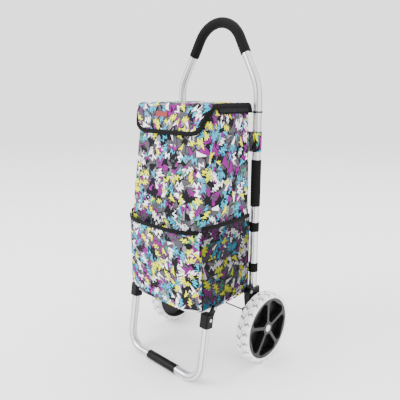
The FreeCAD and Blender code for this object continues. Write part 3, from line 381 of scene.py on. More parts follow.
@dataclass(frozen=True)
class Scatter:
    """One layer of the print: separate pieces of one shape, each turned its own way, with dark outlines."""

    palette: tuple[tuple[float, str], ...]
    motif: Motif
    cell_mm: float
    size: float
    density: float
    seed: float
    slim: float = 2.4
    edge: float = 0.08

    def paint(self, tree: bpy.types.NodeTree, place: bpy.types.NodeSocket,
              under: bpy.types.NodeSocket) -> bpy.types.NodeSocket:
        """Lay this layer over a colour.

        Args:
            tree: The material's node tree.
            place: Position on the cloth, in metres.
            under: Colour that this layer covers.

        Returns:
            The colour with this layer on it.
        """
        moved = add(tree, "ShaderNodeMapping", {
            "Location": (self.seed, self.seed * 0.37, 0), "Scale": (1000 / self.cell_mm,) * 2 + (1.0,)},
            {0: place}).outputs[0]
        cells = add(tree, "ShaderNodeTexVoronoi", {"Scale": 1.0, "Randomness": 0.85}, {"Vector": moved},
                    voronoi_dimensions="2D")
        luck = add(tree, "ShaderNodeSeparateColor", {0: cells.outputs["Color"]}).outputs
        local = add(tree, "ShaderNodeVectorMath", {0: moved, 1: cells.outputs["Position"]},
                    operation="SUBTRACT").outputs[0]
        turned = add(tree, "ShaderNodeVectorRotate", {"Axis": (0, 0, 1)},
                     {"Vector": local,
                      "Angle": add(tree, "ShaderNodeMath", luck[0], math.tau, operation="MULTIPLY").outputs[0]},
                     rotation_type="AXIS_ANGLE")
        spot = add(tree, "ShaderNodeSeparateXYZ", {0: turned.outputs[0]}).outputs
        size = add(tree, "ShaderNodeMath", luck[1], 0.5 * self.size, 0.75 * self.size,
                   operation="MULTIPLY_ADD").outputs[0]
        inside = add(tree, "ShaderNodeMath", size, self.reach(tree, spot[0], spot[1]),
                     operation="SUBTRACT").outputs[0]
        shown = add(tree, "ShaderNodeMath", luck[2], self.density, operation="LESS_THAN").outputs[0]
        body = add(tree, "ShaderNodeMath",
                   add(tree, "ShaderNodeMath", inside, 0.0, operation="GREATER_THAN").outputs[0], shown,
                   operation="MULTIPLY").outputs[0]
        rim = add(tree, "ShaderNodeMath",
                  add(tree, "ShaderNodeMath", inside, -self.edge, operation="GREATER_THAN").outputs[0], shown,
                  operation="MULTIPLY").outputs[0]
        pick = add(tree, "ShaderNodeMath",
                   add(tree, "ShaderNodeMath", luck[1], 7.31, operation="MULTIPLY").outputs[0],
                   operation="FRACT").outputs[0]
        inked = add(tree, "ShaderNodeMixRGB", rim, under, colour(INK)).outputs[0]
        return add(tree, "ShaderNodeMixRGB", body, inked, chosen_colour(tree, pick, self.palette)).outputs[0]

    def reach(self, tree: bpy.types.NodeTree, x: bpy.types.NodeSocket,
              y: bpy.types.NodeSocket) -> bpy.types.NodeSocket:
        """Distance from the piece's middle, measured so that its outline is where this is level.

        Args:
            tree: The material's node tree.
            x: Position from the piece's middle, in cells.
            y: The same, across.

        Returns:
            The distance.
        """
        if self.motif is Motif.SHARD:
            leant = add(tree, "ShaderNodeMath",
                        add(tree, "ShaderNodeMath", y, 0.35, x, operation="MULTIPLY_ADD").outputs[0],
                        operation="ABSOLUTE").outputs[0]
            sides = add(tree, "ShaderNodeMath", leant, self.slim,
                        add(tree, "ShaderNodeMath", y, 0.55, operation="MULTIPLY").outputs[0],
                        operation="MULTIPLY_ADD").outputs[0]
            return add(tree, "ShaderNodeMath", sides,
                       add(tree, "ShaderNodeMath", y, -1.3, operation="MULTIPLY").outputs[0],
                       operation="MAXIMUM").outputs[0]
        if self.motif is Motif.BOLT:
            step = add(tree, "ShaderNodeMath",
                       add(tree, "ShaderNodeMath",
                           add(tree, "ShaderNodeMath", y, 3.2, 0.5, operation="MULTIPLY_ADD").outputs[0],
                           operation="FRACT").outputs[0], 0.5, operation="SUBTRACT").outputs[0]
            off = add(tree, "ShaderNodeMath",
                      add(tree, "ShaderNodeMath", step, 0.25, x, operation="MULTIPLY_ADD").outputs[0],
                      operation="ABSOLUTE").outputs[0]
            return add(tree, "ShaderNodeMath", off, self.slim,
                       add(tree, "ShaderNodeMath", add(tree, "ShaderNodeMath", y, operation="ABSOLUTE").outputs[0],
                           0.8, operation="MULTIPLY").outputs[0], operation="MULTIPLY_ADD").outputs[0]
        if self.motif is Motif.ZIGZAG:
            bend = add(tree, "ShaderNodeMath", add(tree, "ShaderNodeMath", x, 5.0, operation="ADD").outputs[0], 0.24,
                       operation="PINGPONG").outputs[0]
            off = add(tree, "ShaderNodeMath",
                      add(tree, "ShaderNodeMath", bend, -1.6,
                          add(tree, "ShaderNodeMath", y, 0.19, operation="ADD").outputs[0],
                          operation="MULTIPLY_ADD").outputs[0], operation="ABSOLUTE").outputs[0]
            return add(tree, "ShaderNodeMath", off, self.slim,
                       add(tree, "ShaderNodeMath", add(tree, "ShaderNodeMath", x, operation="ABSOLUTE").outputs[0],
                           0.6, operation="MULTIPLY").outputs[0], operation="MULTIPLY_ADD").outputs[0]
        return self.star(tree, x, y)

    def star(self, tree: bpy.types.NodeTree, x: bpy.types.NodeSocket,
             y: bpy.types.NodeSocket) -> bpy.types.NodeSocket:
        """Reach along the straight-sided arms of a star, whose arms differ in length.

        Args:
            tree: The material's node tree.
            x: Position from the piece's middle, in cells.
            y: The same, across.

        Returns:
            The distance.
        """
        points, notch = 5, 0.36
        squares = add(tree, "ShaderNodeMath", add(tree, "ShaderNodeMath", x, x, operation="MULTIPLY").outputs[0],
                      add(tree, "ShaderNodeMath", y, y, operation="MULTIPLY").outputs[0], operation="ADD").outputs[0]
        turn = add(tree, "ShaderNodeMath", add(tree, "ShaderNodeMath", y, x, operation="ARCTAN2").outputs[0],
                   points / math.tau, operation="MULTIPLY").outputs[0]
        arm = add(tree, "ShaderNodeMath", turn, operation="ROUND").outputs[0]
        length = add(tree, "ShaderNodeMath",
                     add(tree, "ShaderNodeMath",
                         add(tree, "ShaderNodeMath", arm, 2.4, operation="MULTIPLY").outputs[0],
                         operation="SINE").outputs[0], 0.35, 0.85, operation="MULTIPLY_ADD").outputs[0]
        radius = add(tree, "ShaderNodeMath", add(tree, "ShaderNodeMath", squares, operation="SQRT").outputs[0],
                     length, operation="DIVIDE").outputs[0]
        away = add(tree, "ShaderNodeMath",
                   add(tree, "ShaderNodeMath",
                       add(tree, "ShaderNodeMath", turn, arm, operation="SUBTRACT").outputs[0],
                       operation="ABSOLUTE").outputs[0], math.tau / points, operation="MULTIPLY").outputs[0]
        half = math.pi / points
        steep = (1 - notch * math.cos(half)) / (notch * math.sin(half))
        along = add(tree, "ShaderNodeMath", radius, add(tree, "ShaderNodeMath", away, operation="COSINE").outputs[0],
                    operation="MULTIPLY").outputs[0]
        beside = add(tree, "ShaderNodeMath", radius, add(tree, "ShaderNodeMath", away, operation="SINE").outputs[0],
                     operation="MULTIPLY").outputs[0]
        return add(tree, "ShaderNodeMath", beside, steep, along, operation="MULTIPLY_ADD").outputs[0]


# Splinters, shards, bolts and stars in four colours over grey and navy.
PRINT_LAYERS = (
    Splinters(((6, GREY), (2.8, NAVY), (1.8, PALE), (0.7, PLUM)), 20, 38, 1.6, 3.1, edge=0.055),
    Scatter(((2.6, PLUM), (1.6, NAVY), (1.2, GREY)), Motif.SHARD, 27, 0.55, 0.66, 1.3, slim=1.6, edge=0.1),
    Scatter(((2.4, NAVY), (3, GREY), (1.8, PLUM)), Motif.STAR, 29, 0.75, 0.6, 4.7, edge=0.11),
    Scatter(((1, WHITE), (0.4, PALE)), Motif.SHARD, 27, 0.42, 0.42, 7.9, slim=2.3, edge=0.125),
    Scatter(((3, SKY), (1.6, PLUM), (0.6, MINT)), Motif.ZIGZAG, 30, 0.46, 0.5, 2.2, slim=2.3, edge=0.125),
    Scatter(((3, WHITE), (1.0, GREY), (0.6, NAVY)), Motif.ZIGZAG, 29, 0.42, 0.5, 6.4, slim=2.3, edge=0.125),
    Scatter(((3, LEMON), (1, SKY)), Motif.STAR, 28, 0.5, 0.32, 9.6, edge=0.125),
    Scatter(((2, LEMON), (1.8, SKY), (1.4, WHITE)), Motif.BOLT, 31, 0.44, 0.42, 12.2, slim=2.0, edge=0.125),
)


@dataclass(frozen=True)
class PrintedCloth(Finish):
    """Woven polyester with the all-over print; where netting covers it, the print shows through black mesh."""

    net: float = 0.0

    def dress(self, tree: bpy.types.NodeTree, shader: bpy.types.Node, place: bpy.types.Node) -> None:
        """Print by the cloth's own UV, in metres, with a weave as coarse as the eye can still see.

        Args:
            tree: The material's node tree.
            shader: The shader that it feeds.
            place: The texture coordinates.
        """
        uv = place.outputs["UV"]
        painted = add(tree, "ShaderNodeRGB").outputs[0]
        painted.default_value = colour(self.base)
        for layer in PRINT_LAYERS:
            painted = layer.paint(tree, uv, painted)
        if self.net:
            painted = self.veil(tree, uv, painted)
        tree.links.new(painted, shader.inputs["Base Color"])
        shader.inputs["Roughness"].default_value = self.roughness
        threads = 1 / (1.6 * MM)
        across = add(tree, "ShaderNodeTexWave", {"Scale": threads / WAVE_REPEAT}, {"Vector": uv}, bands_direction="X")
        along = add(tree, "ShaderNodeTexWave", {"Scale": threads / WAVE_REPEAT}, {"Vector": uv}, bands_direction="Y")
        weave = add(tree, "ShaderNodeMath", across.outputs["Fac"], along.outputs["Fac"],
                    operation="MAXIMUM").outputs[0]
        crease = add(tree, "ShaderNodeTexNoise", {"Scale": 14.0, "Detail": 2.0}, {"Vector": uv})
        height = add(tree, "ShaderNodeMath", crease.outputs[0], 22.0, weave, operation="MULTIPLY_ADD").outputs[0]
        self.raise_grain(tree, shader, height, self.grain_height_mm)

    def veil(self, tree: bpy.types.NodeTree, uv: bpy.types.NodeSocket,
             painted: bpy.types.NodeSocket) -> bpy.types.NodeSocket:
        """Black netting with open cells of about 3 mm over the print.

        Args:
            tree: The material's node tree.
            uv: Position on the cloth, in metres.
            painted: The printed colour.

        Returns:
            The colour with the netting on it.
        """
        holes = add(tree, "ShaderNodeTexVoronoi", {"Scale": 1 / (3 * MM), "Randomness": 0.15}, {"Vector": uv},
                    voronoi_dimensions="2D")
        thread = add(tree, "ShaderNodeMapRange", {"From Min": 0.25, "From Max": 0.5, "To Min": 1 - self.net - 0.15,
                                                  "To Max": 1 - self.net + 0.25}, {"Value": holes.outputs[0]})
        cover = add(tree, "ShaderNodeMath", 1.0, thread.outputs[0], operation="SUBTRACT").outputs[0]
        return add(tree, "ShaderNodeMixRGB", {"Color2": colour("#0d0d10")},
                   {"Fac": cover, "Color1": painted}).outputs[0]


@dataclass(frozen=True)
class RibbedTape(Finish):
    """Black polyester binding tape, woven with fine ribs across its length."""

    rib_mm: float = 1.6

    def dress(self, tree: bpy.types.NodeTree, shader: bpy.types.Node, place: bpy.types.Node) -> None:
        """Ribs by the tape's own UV.

        Args:
            tree: The material's node tree.
            shader: The shader that it feeds.
            place: The texture coordinates.
        """
        Finish.dress(self, tree, shader, place)
        ribs = add(tree, "ShaderNodeTexWave", {"Scale": 1 / (self.rib_mm * MM) / WAVE_REPEAT},
                   {"Vector": place.outputs["UV"]}, bands_direction="X")
        self.raise_grain(tree, shader, ribs.outputs["Fac"], 0.25)


# Bent tube, satin anodised: a bright, slightly blurred shine.
ALUMINIUM = Finish("satin_anodised_aluminium", "#dfdfe3", "#cfcfd4", 0.34, metallic=1.0, grain_mm=0.8,
                   grain_height_mm=0.01)
# Drawn tube, satin anodised: bright bands with painted shade as dull lines in its flutes.
FRAME_METAL = FlutedMetal("fluted_anodised_aluminium", "#e6e6ea", "#d6d6db", 0.32, metallic=1.0, grain_mm=0.8,
                          grain_height_mm=0.01)
# The same on the thinner tube of the stand.
STAND_METAL = FlutedMetal("fluted_stand_aluminium", "#e6e6ea", "#d6d6db", 0.32, metallic=1.0, grain_mm=0.8,
                          grain_height_mm=0.01, radius=0.0113)
# Rivets, pins and washers, zinc plated: a colder, duller metal.
ZINC = Finish("zinc_plated_steel", "#c9cacc", "#a9abad", 0.3, metallic=1.0, grain_mm=1.2, grain_height_mm=0.01)
# Steel rod, powder coated: smooth black with a soft shine.
BLACK_PAINT = Finish("satin_black_powder_coat", "#0d0d0f", "#09090a", 0.4, grain_mm=0.7, grain_height_mm=0.03,
                     shine=0.15)
# Brackets and caps, moulded: plain black with a low shine.
NYLON = Finish("moulded_black_nylon", "#08080a", "#050506", 0.38, grain_mm=0.6, grain_height_mm=0.04, shine=0.12)
# Nitrile foam, cut and skinless: matt black with open pores.
FOAM = Finish("black_nbr_foam", "#0a0a0b", "#050506", 0.8, grain_mm=1.1, grain_height_mm=0.18, shine=0.15)
# Moulded rubber: black with a clearer shine than foam.
RUBBER = Finish("moulded_black_rubber", "#08080a", "#040405", 0.36, grain_mm=0.9, grain_height_mm=0.05, shine=0.12)
# Moulded foam tread: matt white, grey in its grooves as painted shade.
EVA = GroovedFoam("white_eva_foam", "#f6f6f8", "#ececef", 0.7, grain_mm=1.3, grain_height_mm=0.06)
# Moulded rim: near black, with a slightly paler outer face as painted light.
RIM = RimPlastic("moulded_rim_polypropylene", "#0f0f11", "#09090a", 0.45, grain_mm=1.5, grain_height_mm=0.03,
                 shine=0.3)
# Hub bush, turned from a rod: waxy off-white.
ACETAL = Finish("natural_acetal", "#d8d6cc", "#c8c5ba", 0.4, grain_mm=1.5, grain_height_mm=0.01)
# Hub cap, moulded: glossy white.
CAP = Finish("white_abs", "#ececee", "#dcdce0", 0.25, grain_mm=3, grain_height_mm=0.005, coat=0.3)
# Pressed board: matt grey with a fibrous grain.
BOARD = Finish("grey_pressed_board", "#55555a", "#45454a", 0.8, grain_mm=1.5, grain_height_mm=0.1)
# Woven and printed polyester: matt colours that break up over the weave.
CLOTH = PrintedCloth("printed_polyester", GREY, INK, 0.8, grain_height_mm=0.12, shine=0.2)
# The same cloth seen through black netting: darker and greyer.
NETTED = PrintedCloth("printed_polyester_under_net", GREY, INK, 0.8, grain_height_mm=0.15, net=0.86,
                      shine=0.1)
# Plain woven polyester: soft black with a little sheen.
BLACK_CLOTH = Finish("black_polyester_cloth", "#1b1b1d", "#131315", 0.85, grain_mm=1.4, grain_height_mm=0.1,
                     sheen=0.05, shine=0.12)
# Woven binding tape: black with fine ribs that catch the light.
TAPE = RibbedTape("black_binding_tape", "#060607", "#030304", 0.7, grain_height_mm=0.05, shine=0.12)
# Hook-and-loop tape: black and rough, with no shine.
HOOK_TAPE = Finish("hook_and_loop_tape", "#101012", "#09090a", 0.95, grain_mm=0.9, grain_height_mm=0.4, shine=0.1)
# Woven label: flat red.
LABEL = Finish("red_woven_label", "#8f1c15", "#5f120d", 0.55, grain_mm=0.9, grain_height_mm=0.05)


# ---- mesh helpers ----------------------------------------------------------------------------


def deselect() -> None:
    """Leave edit mode and clear the selection."""
    if bpy.context.object and bpy.context.object.mode != "OBJECT":
        bpy.ops.object.mode_set(mode="OBJECT")
    bpy.ops.object.select_all(action="DESELECT")


def edit(piece: bpy.types.Object, *steps: Callable[[], Any]) -> None:
    """Run mesh operators on the whole of a piece in edit mode.

    Args:
        piece: The piece.
        steps: The operators, in order.
    """
    deselect()
    bpy.context.view_layer.objects.active = piece
    piece.select_set(True)
    bpy.ops.object.mode_set(mode="EDIT")
    bpy.ops.mesh.select_all(action="SELECT")
    for step in steps:
        step()
    bpy.ops.object.mode_set(mode="OBJECT")
    deselect()


def modify(piece: bpy.types.Object, kind: str, **settings: Any) -> None:
    """Add one modifier and apply it.

    Args:
        piece: The piece.
        kind: The modifier's type name.
        settings: The modifier's own properties.
    """
    deselect()
    bpy.context.view_layer.objects.active = piece
    piece.select_set(True)
    modifier = piece.modifiers.new(kind.title(), kind)
    for name, setting in settings.items():
        setattr(modifier, name, setting)
    bpy.ops.object.modifier_apply(modifier=modifier.name)
    deselect()


def smooth(piece: bpy.types.Object, angle: float = 40.0) -> None:
    """Smooth shading that keeps edges sharper than an angle in degrees.

    Args:
        piece: The piece.
        angle: The angle.
    """
    deselect()
    bpy.context.view_layer.objects.active = piece
    piece.select_set(True)
    bpy.ops.object.shade_smooth_by_angle(angle=math.radians(angle))
    deselect()


def close_up() -> None:
    """Merge doubled points and turn every face outwards."""
    bpy.ops.mesh.remove_doubles(threshold=0.00002)
    bpy.ops.mesh.normals_make_consistent(inside=False)


def shaped_grid(name: str, steps: tuple[int, int], place: Callable[[Points, Points], Points],
                unroll: tuple[float, float] = (1.0, 1.0), start: tuple[float, float] = (0.0, 0.0),
                painted_shade: Callable[[Points, Points], Points] | None = None) -> bpy.types.Object:
    """A grid primitive whose points are moved onto a surface.

    Args:
        name: The piece's name.
        steps: Faces along u and v.
        place: Gives the points for arrays of u and v, each from 0 to 1.
        unroll: Real width and height of the cloth, for its UV in metres.
        start: UV of the corner where u and v are 0.
        painted_shade: Gives a number from 0 to 1 at each point, which the finish reads.

    Returns:
        The new object, with its place in its mesh.
    """
    deselect()
    bpy.ops.mesh.primitive_grid_add(x_subdivisions=steps[0], y_subdivisions=steps[1], size=2.0)
    piece = bpy.context.object
    piece.name = name
    mesh = piece.data
    mesh.name = name
    flat = np.empty(len(mesh.vertices) * 3)
    mesh.vertices.foreach_get("co", flat)
    flat = flat.reshape(-1, 3)
    u = (flat[:, 0] + 1) / 2
    v = (flat[:, 1] + 1) / 2
    owners = np.empty(len(mesh.loops), int)
    mesh.loops.foreach_get("vertex_index", owners)
    uv = np.stack([start[0] + u[owners] * unroll[0], start[1] + v[owners] * unroll[1]], axis=1)
    mesh.uv_layers[0].data.foreach_set("uv", uv.ravel())
    mesh.vertices.foreach_set("co", np.ascontiguousarray(place(u, v)).ravel())
    if painted_shade:
        mesh.attributes.new("painted_shade", "FLOAT", "POINT").data.foreach_set("value", painted_shade(u, v))
    mesh.update()
    return piece


def ease(t: Points) -> Points:
    """Smooth step from 0 to 1."""
    t = np.clip(t, 0, 1)
    return t * t * (3 - 2 * t)


def ripple(a: Points, b: Points, size: float, seed: float) -> Points:
    """Gentle uneven waves, from -1 to 1, over two lengths in metres.

    Args:
        a: One length.
        b: The other length.
        size: The wavelength.
        seed: Shifts the waves.

    Returns:
        Height of the waves.
    """
    k = math.tau / size
    waves = (np.sin(k * (a * 0.9 + b * 0.35) + seed) + np.sin(k * (b * 1.1 - a * 0.5) + 2.1 * seed)
             + 0.6 * np.sin(k * (a * 1.9 + b * 1.3) + 3.7 * seed))
    return waves / 2.6


def rounded_route(points: Sequence[Vector], radii: Sequence[float], step_deg: float = 4.0) -> list[Vector]:
    """Straight runs joined by arcs.

    Args:
        points: The route's corners, ends included.
        radii: One radius for each inner corner.
        step_deg: How far each step turns on an arc.

    Returns:
        Points along the route.
    """
    route = [Vector(points[0])]
    for corner, after, radius in zip(points[1:-1], points[2:], radii):
        back = (route[-1] - corner).normalized()
        onward = (after - corner).normalized()
        turn = math.pi - back.angle(onward)
        reach = radius * math.tan(turn / 2)
        centre = corner + (back + onward).normalized() * (radius / math.cos(turn / 2))
        start = corner + back * reach - centre
        side = (corner + onward * reach - centre)
        axis = start.cross(side).normalized()
        count = max(2, round(math.degrees(turn) / step_deg))
        for i in range(count + 1):
            angle = turn * i / count
            route.append(centre + start * math.cos(angle) + axis.cross(start) * math.sin(angle))
    route.append(Vector(points[-1]))
    return route


def along(route: Sequence[Vector], gap: float) -> list[Vector]:
    """The same route with extra points so that no step is longer than gap.

    Args:
        route: Points along the route.
        gap: The longest step, in metres.

    Returns:
        The finer route.
    """
    fine = [Vector(route[0])]
    for end in route[1:]:
        start = fine[-1].copy()
        count = max(1, math.ceil((end - start).length / gap))
        fine.extend(start.lerp(end, (i + 1) / count) for i in range(count))
    return fine


def swept_section(name: str, route: Sequence[Vector], section: Callable[[Points], Points],
                  tall: Callable[[Points], Points] | Sequence[float], rounds: int, end_round: float = 0.0,
                  closed: bool = False) -> bpy.types.Object:
    """A solid strip or bar swept along a route.

    Args:
        name: The piece's name.
        route: Points of its centre line.
        section: Gives half-offsets (tall, thin) in metres for angles round the section.
        tall: Direction of the section's tall axis: one vector, or a function of the route's points.
        rounds: Faces round the section.
        end_round: Length over which the ends are rounded off; 0 leaves them flat.
        closed: The route is a loop whose last point equals its first.

    Returns:
        The closed solid.
    """
    line = np.array([tuple(p) for p in route])
    tangent = np.gradient(line, axis=0)
    if closed:
        tangent[0] = tangent[-1] = line[1] - line[-2]
    tangent /= np.linalg.norm(tangent, axis=1)[:, None]
    up = np.array(tall(line) if callable(tall) else np.tile(np.array(tall, float), (len(line), 1)))
    up = up - tangent * (up * tangent).sum(1)[:, None]
    up /= np.linalg.norm(up, axis=1)[:, None]
    thin = np.cross(tangent, up)
    lengths = np.concatenate([[0], np.cumsum(np.linalg.norm(np.diff(line, axis=0), axis=1))])
    scale = np.ones(len(line))
    if not closed:
        line = np.concatenate([line[:1], line, line[-1:]])
        up, thin = (np.concatenate([a[:1], a, a[-1:]]) for a in (up, thin))
        lengths = np.concatenate([lengths[:1], lengths, lengths[-1:]])
        scale = np.ones(len(line))
        if end_round:
            for gap in (lengths, lengths[-1] - lengths):
                scale = np.minimum(scale, np.sqrt(np.clip(1 - (1 - np.clip(gap / end_round, 0, 1)) ** 2, 0.15, 1)))
        scale[0] = scale[-1] = 0
    count = len(line) - 1

    def place(u: Points, v: Points) -> Points:
        """Points of the skin: u along the route and v round the section."""
        i = np.rint(u * count).astype(int)
        offsets = section(v * math.tau)
        return line[i] + (up[i] * offsets[:, :1] + thin[i] * offsets[:, 1:]) * scale[i][:, None]

    ring = section(np.linspace(0, math.tau, GAUGE_STEPS))
    girth = float(np.linalg.norm(np.diff(ring, axis=0), axis=1).sum())
    piece = shaped_grid(name, (count, rounds), place, (lengths[-1], girth))
    edit(piece, close_up)
    smooth(piece, 50)
    return piece


def oval(tall: float, thin: float, square: float = 0.75) -> Callable[[Points], Points]:
    """Section of a folded tape: an oval squared off towards a rectangle.

    Args:
        tall: Width of the tape.
        thin: Its thickness.
        square: 1 gives a plain oval, and less gives squarer edges.

    Returns:
        The section, for swept_section.
    """
    def section(angle: Points) -> Points:
        """Half-offsets of the tape's skin at each angle."""
        c, s = np.cos(angle), np.sin(angle)
        return np.stack([tall / 2 * np.sign(c) * np.abs(c) ** square, thin / 2 * np.sign(s) * np.abs(s) ** square],
                        axis=1)
    return section


def fluted(radius: float, depth: float, count: int) -> Callable[[Points], Points]:
    """Section of a drawn tube with shallow lengthwise flutes.

    Args:
        radius: Outer radius.
        depth: Depth of a flute.
        count: Flutes round the tube.

    Returns:
        The section, for swept_section.
    """
    def section(angle: Points) -> Points:
        """Half-offsets of the tube's skin at each angle."""
        r = radius - depth * np.clip(np.cos(angle * count) * 1.6 - 0.6, 0, 1)
        return np.stack([r * np.cos(angle), r * np.sin(angle)], axis=1)
    return section


def finished(piece: bpy.types.Object, finish: Finish, body: str, slot: str, *nodes: str) -> bpy.types.Object:
    """Dress a finished piece, tie it to its body and hide the CAD nodes that it stands for.

    Args:
        piece: The piece.
        finish: Its material.
        body: The body that it rides on.
        slot: Name of a material slot; not used.
        nodes: CAD nodes that it replaces.

    Returns:
        The piece.
    """
    piece.data.materials.clear()
    piece.data.materials.append(finish.build())
    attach(piece, body)
    if nodes:
        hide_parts(*nodes)
    LOG.info("%s: %d faces on %s", piece.name, len(piece.data.polygons), body)
    return piece


def curve_through(places: Sequence[tuple[float, float]]) -> Callable[[Points], Points]:
    """Smooth function through given points, level beyond its ends.

    Args:
        places: The points, in order.

    Returns:
        The function.
    """
    known = np.array(places, float)

    def follow(t: Points) -> Points:
        """Cubic between the two nearest points."""
        x, y = known[:, 0], known[:, 1]
        slope = np.gradient(y, x)
        i = np.clip(np.searchsorted(x, t) - 1, 0, len(x) - 2)
        span = x[i + 1] - x[i]
        s = np.clip((t - x[i]) / span, 0, 1)
        return ((1 + 2 * s) * (1 - s) ** 2 * y[i] + s * (1 - s) ** 2 * span * slope[i]
                + s * s * (3 - 2 * s) * y[i + 1] + s * s * (s - 1) * span * slope[i + 1])
    return follow


# ---- tubes and small frame parts -------------------------------------------------------------


@dataclass
class Tubes:
    """The fluted aluminium tubes with their foam and rubber coverings."""

    upright_x: float = 0.140
    upright_y: float = 0.06755
    foot: float = 0.1182
    radius: float = 0.01175
    slant: float = math.radians(28.6)
    lean: float = math.radians(2.4)
    crown: float = 0.934
    crown_radius: float = 0.082
    shoulder_radius: float = 0.110
    grip_half: float = 0.097
    stand_foot: tuple[float, float] = (-0.15625, 0.0119)
    stand_lean: float = math.radians(9.55)
    stand_x: float = 0.1417
    stand_top: float = 0.185
    stand_radius: float = 0.0113
    flutes: int = 6
    flute_depth: float = 0.0006
    grip_radius: float = 0.014
    sleeve_radius: float = 0.0137
    sleeve_span: tuple[float, float] = (0.444, 0.578)
    foot_half: float = 0.059
    foot_radius: float = 0.01235

    def handle_corners(self) -> tuple[Vector, Vector, Vector]:
        """Foot and shoulder of the right upright, and the peak where both slants would meet.

        Returns:
            The three points.
        """
        rise = self.upright_x / math.tan(self.slant)
        over = self.crown_radius / math.sin(self.slant) - self.crown_radius
        shoulder = self.crown - (rise - over) * math.cos(self.lean)
        peak = Vector((0, self.upright_y + rise * math.sin(self.lean), shoulder + rise * math.cos(self.lean)))
        return (Vector((self.upright_x, self.upright_y, self.foot)),
                Vector((self.upright_x, self.upright_y, shoulder)), peak)

    def build(self) -> None:
        """Main frame, grip, uprights' sleeves, stand and foot sleeve."""
        foot, shoulder, peak = self.handle_corners()
        flip = Vector((-1, 1, 1))
        route = rounded_route([foot, shoulder, peak, shoulder * flip, foot * flip],
                              [self.shoulder_radius, self.crown_radius, self.shoulder_radius])
        frame_tube = swept_section("fluted_main_frame", along(route, 0.02),
                                   fluted(self.radius, self.flute_depth, self.flutes), self.handle_outward, 96)
        finished(frame_tube, FRAME_METAL, "frame", "satin_aluminium", "main_frame_tube")
        start = shoulder.lerp(peak, 1 - self.grip_half / self.upright_x)
        grip_route = along(rounded_route([start, peak, start * flip], [self.crown_radius]), 0.006)
        grip = swept_section("foam_grip", grip_route, fluted(self.grip_radius, 0, 1), (0, 1, 0), 40, end_round=0.003)
        finished(grip, FOAM, "frame", "black_foam", "handle_grip")
        for side in Side:
            line = along([Vector((side.value * self.upright_x, self.upright_y, z)) for z in self.sleeve_span], 0.004)
            sleeve = swept_section(f"foam_sleeve_{side.word}", line, fluted(self.sleeve_radius, 0, 1), (0, 1, 0), 36,
                                   end_round=0.002)
            finished(sleeve, FOAM, "frame", "black_foam", f"upright_sleeve_{side.word}")
        self.build_stand(flip)

    def handle_outward(self, line: Points) -> Points:
        """Direction of the tube's first flute all along the handle: away from the handle's middle.

        Args:
            line: Points along the tube.

        Returns:
            One direction for each point.
        """
        out = line - np.array([0.0, self.upright_y, 0.72])
        out[:, 0] *= 2
        return out

    def build_stand(self, flip: Vector) -> None:
        """U-shaped stand and the ridged rubber sleeve on its foot bar.

        Args:
            flip: Turns a point into its mirror image.
        """
        y, z = self.stand_foot
        up = Vector((0, math.sin(self.stand_lean), math.cos(self.stand_lean)))
        corner = Vector((self.stand_x, y, z))
        top = corner + up * self.stand_top
        route = rounded_route([top, corner, corner * flip, top * flip], [0.05, 0.05])
        tube = swept_section("fluted_stand", along(route, 0.015),
                             fluted(self.stand_radius, self.flute_depth, self.flutes),
                             (0, -math.cos(self.stand_lean), math.sin(self.stand_lean)), 96)
        finished(tube, STAND_METAL, "stand", "satin_aluminium", "stand_tube")
        line = along([Vector((x, y, z)) for x in (-self.foot_half, self.foot_half)], 0.003)

        def ridged(angle: Points) -> Points:
            """Round, with raised ribs round the top and a flat underneath."""
            r = self.foot_radius + 0.0004 * np.clip(np.cos(angle * 12) * 2 - 0.8, 0, 1)
            across, height = r * np.sin(angle), r * np.cos(angle)
            return np.stack([np.maximum(height, -z), across], axis=1)

        sleeve = swept_section("ribbed_foot_sleeve", line, ridged, (0, 0, 1), 96, end_round=0.0015)
        finished(sleeve, RUBBER, "stand", "black_rubber", "foot_sleeve")


@dataclass
class Strap:
    """A band sewn round an upright and onto the bag's back."""

    name: str
    bottom: float
    width: float
    finish: Finish
    slot: str
    thickness: float = 0.0013
    tab_x: float = 0.110
    back: float = 0.05275
    centre: tuple[float, float] = (0.140, 0.06755)
    radius: float = 0.01175

    def build(self) -> None:
        """Both sides' straps, each a flat band."""
        for side in Side:
            route = [Vector((x * side.value, y, z)) for x, y, z in self.plan()]
            if side is Side.LEFT:
                route.reverse()
            band = swept_section(f"{self.name}_band_{side.word}", along(route, 0.003),
                                 oval(self.width, self.thickness, 0.35), (0, 0, 1), 24, end_round=0.001)
            finished(band, self.finish, "frame", self.slot, f"{self.name}_{side.word}")

    def plan(self) -> list[tuple[float, float, float]]:
        """Route of the band seen from above: along the bag, round the tube, and back to the bag.

        Returns:
            Its points on the right side.
        """
        r = self.radius + self.thickness / 2
        z = self.bottom + self.width / 2
        cx, cy = self.centre
        skin = self.back + self.thickness
        turns = np.linspace(math.radians(-112), math.radians(205), 40)
        ring = [(cx + r * math.cos(a), cy + r * math.sin(a), z) for a in turns]
        return [(self.tab_x, skin, z), (self.tab_x + 0.012, skin, z), *ring,
                (cx - r * 0.98, skin + 0.0035, z), (self.tab_x + 0.013, skin + self.thickness * 1.2, z)]


# ---- wheels ----------------------------------------------------------------------------------


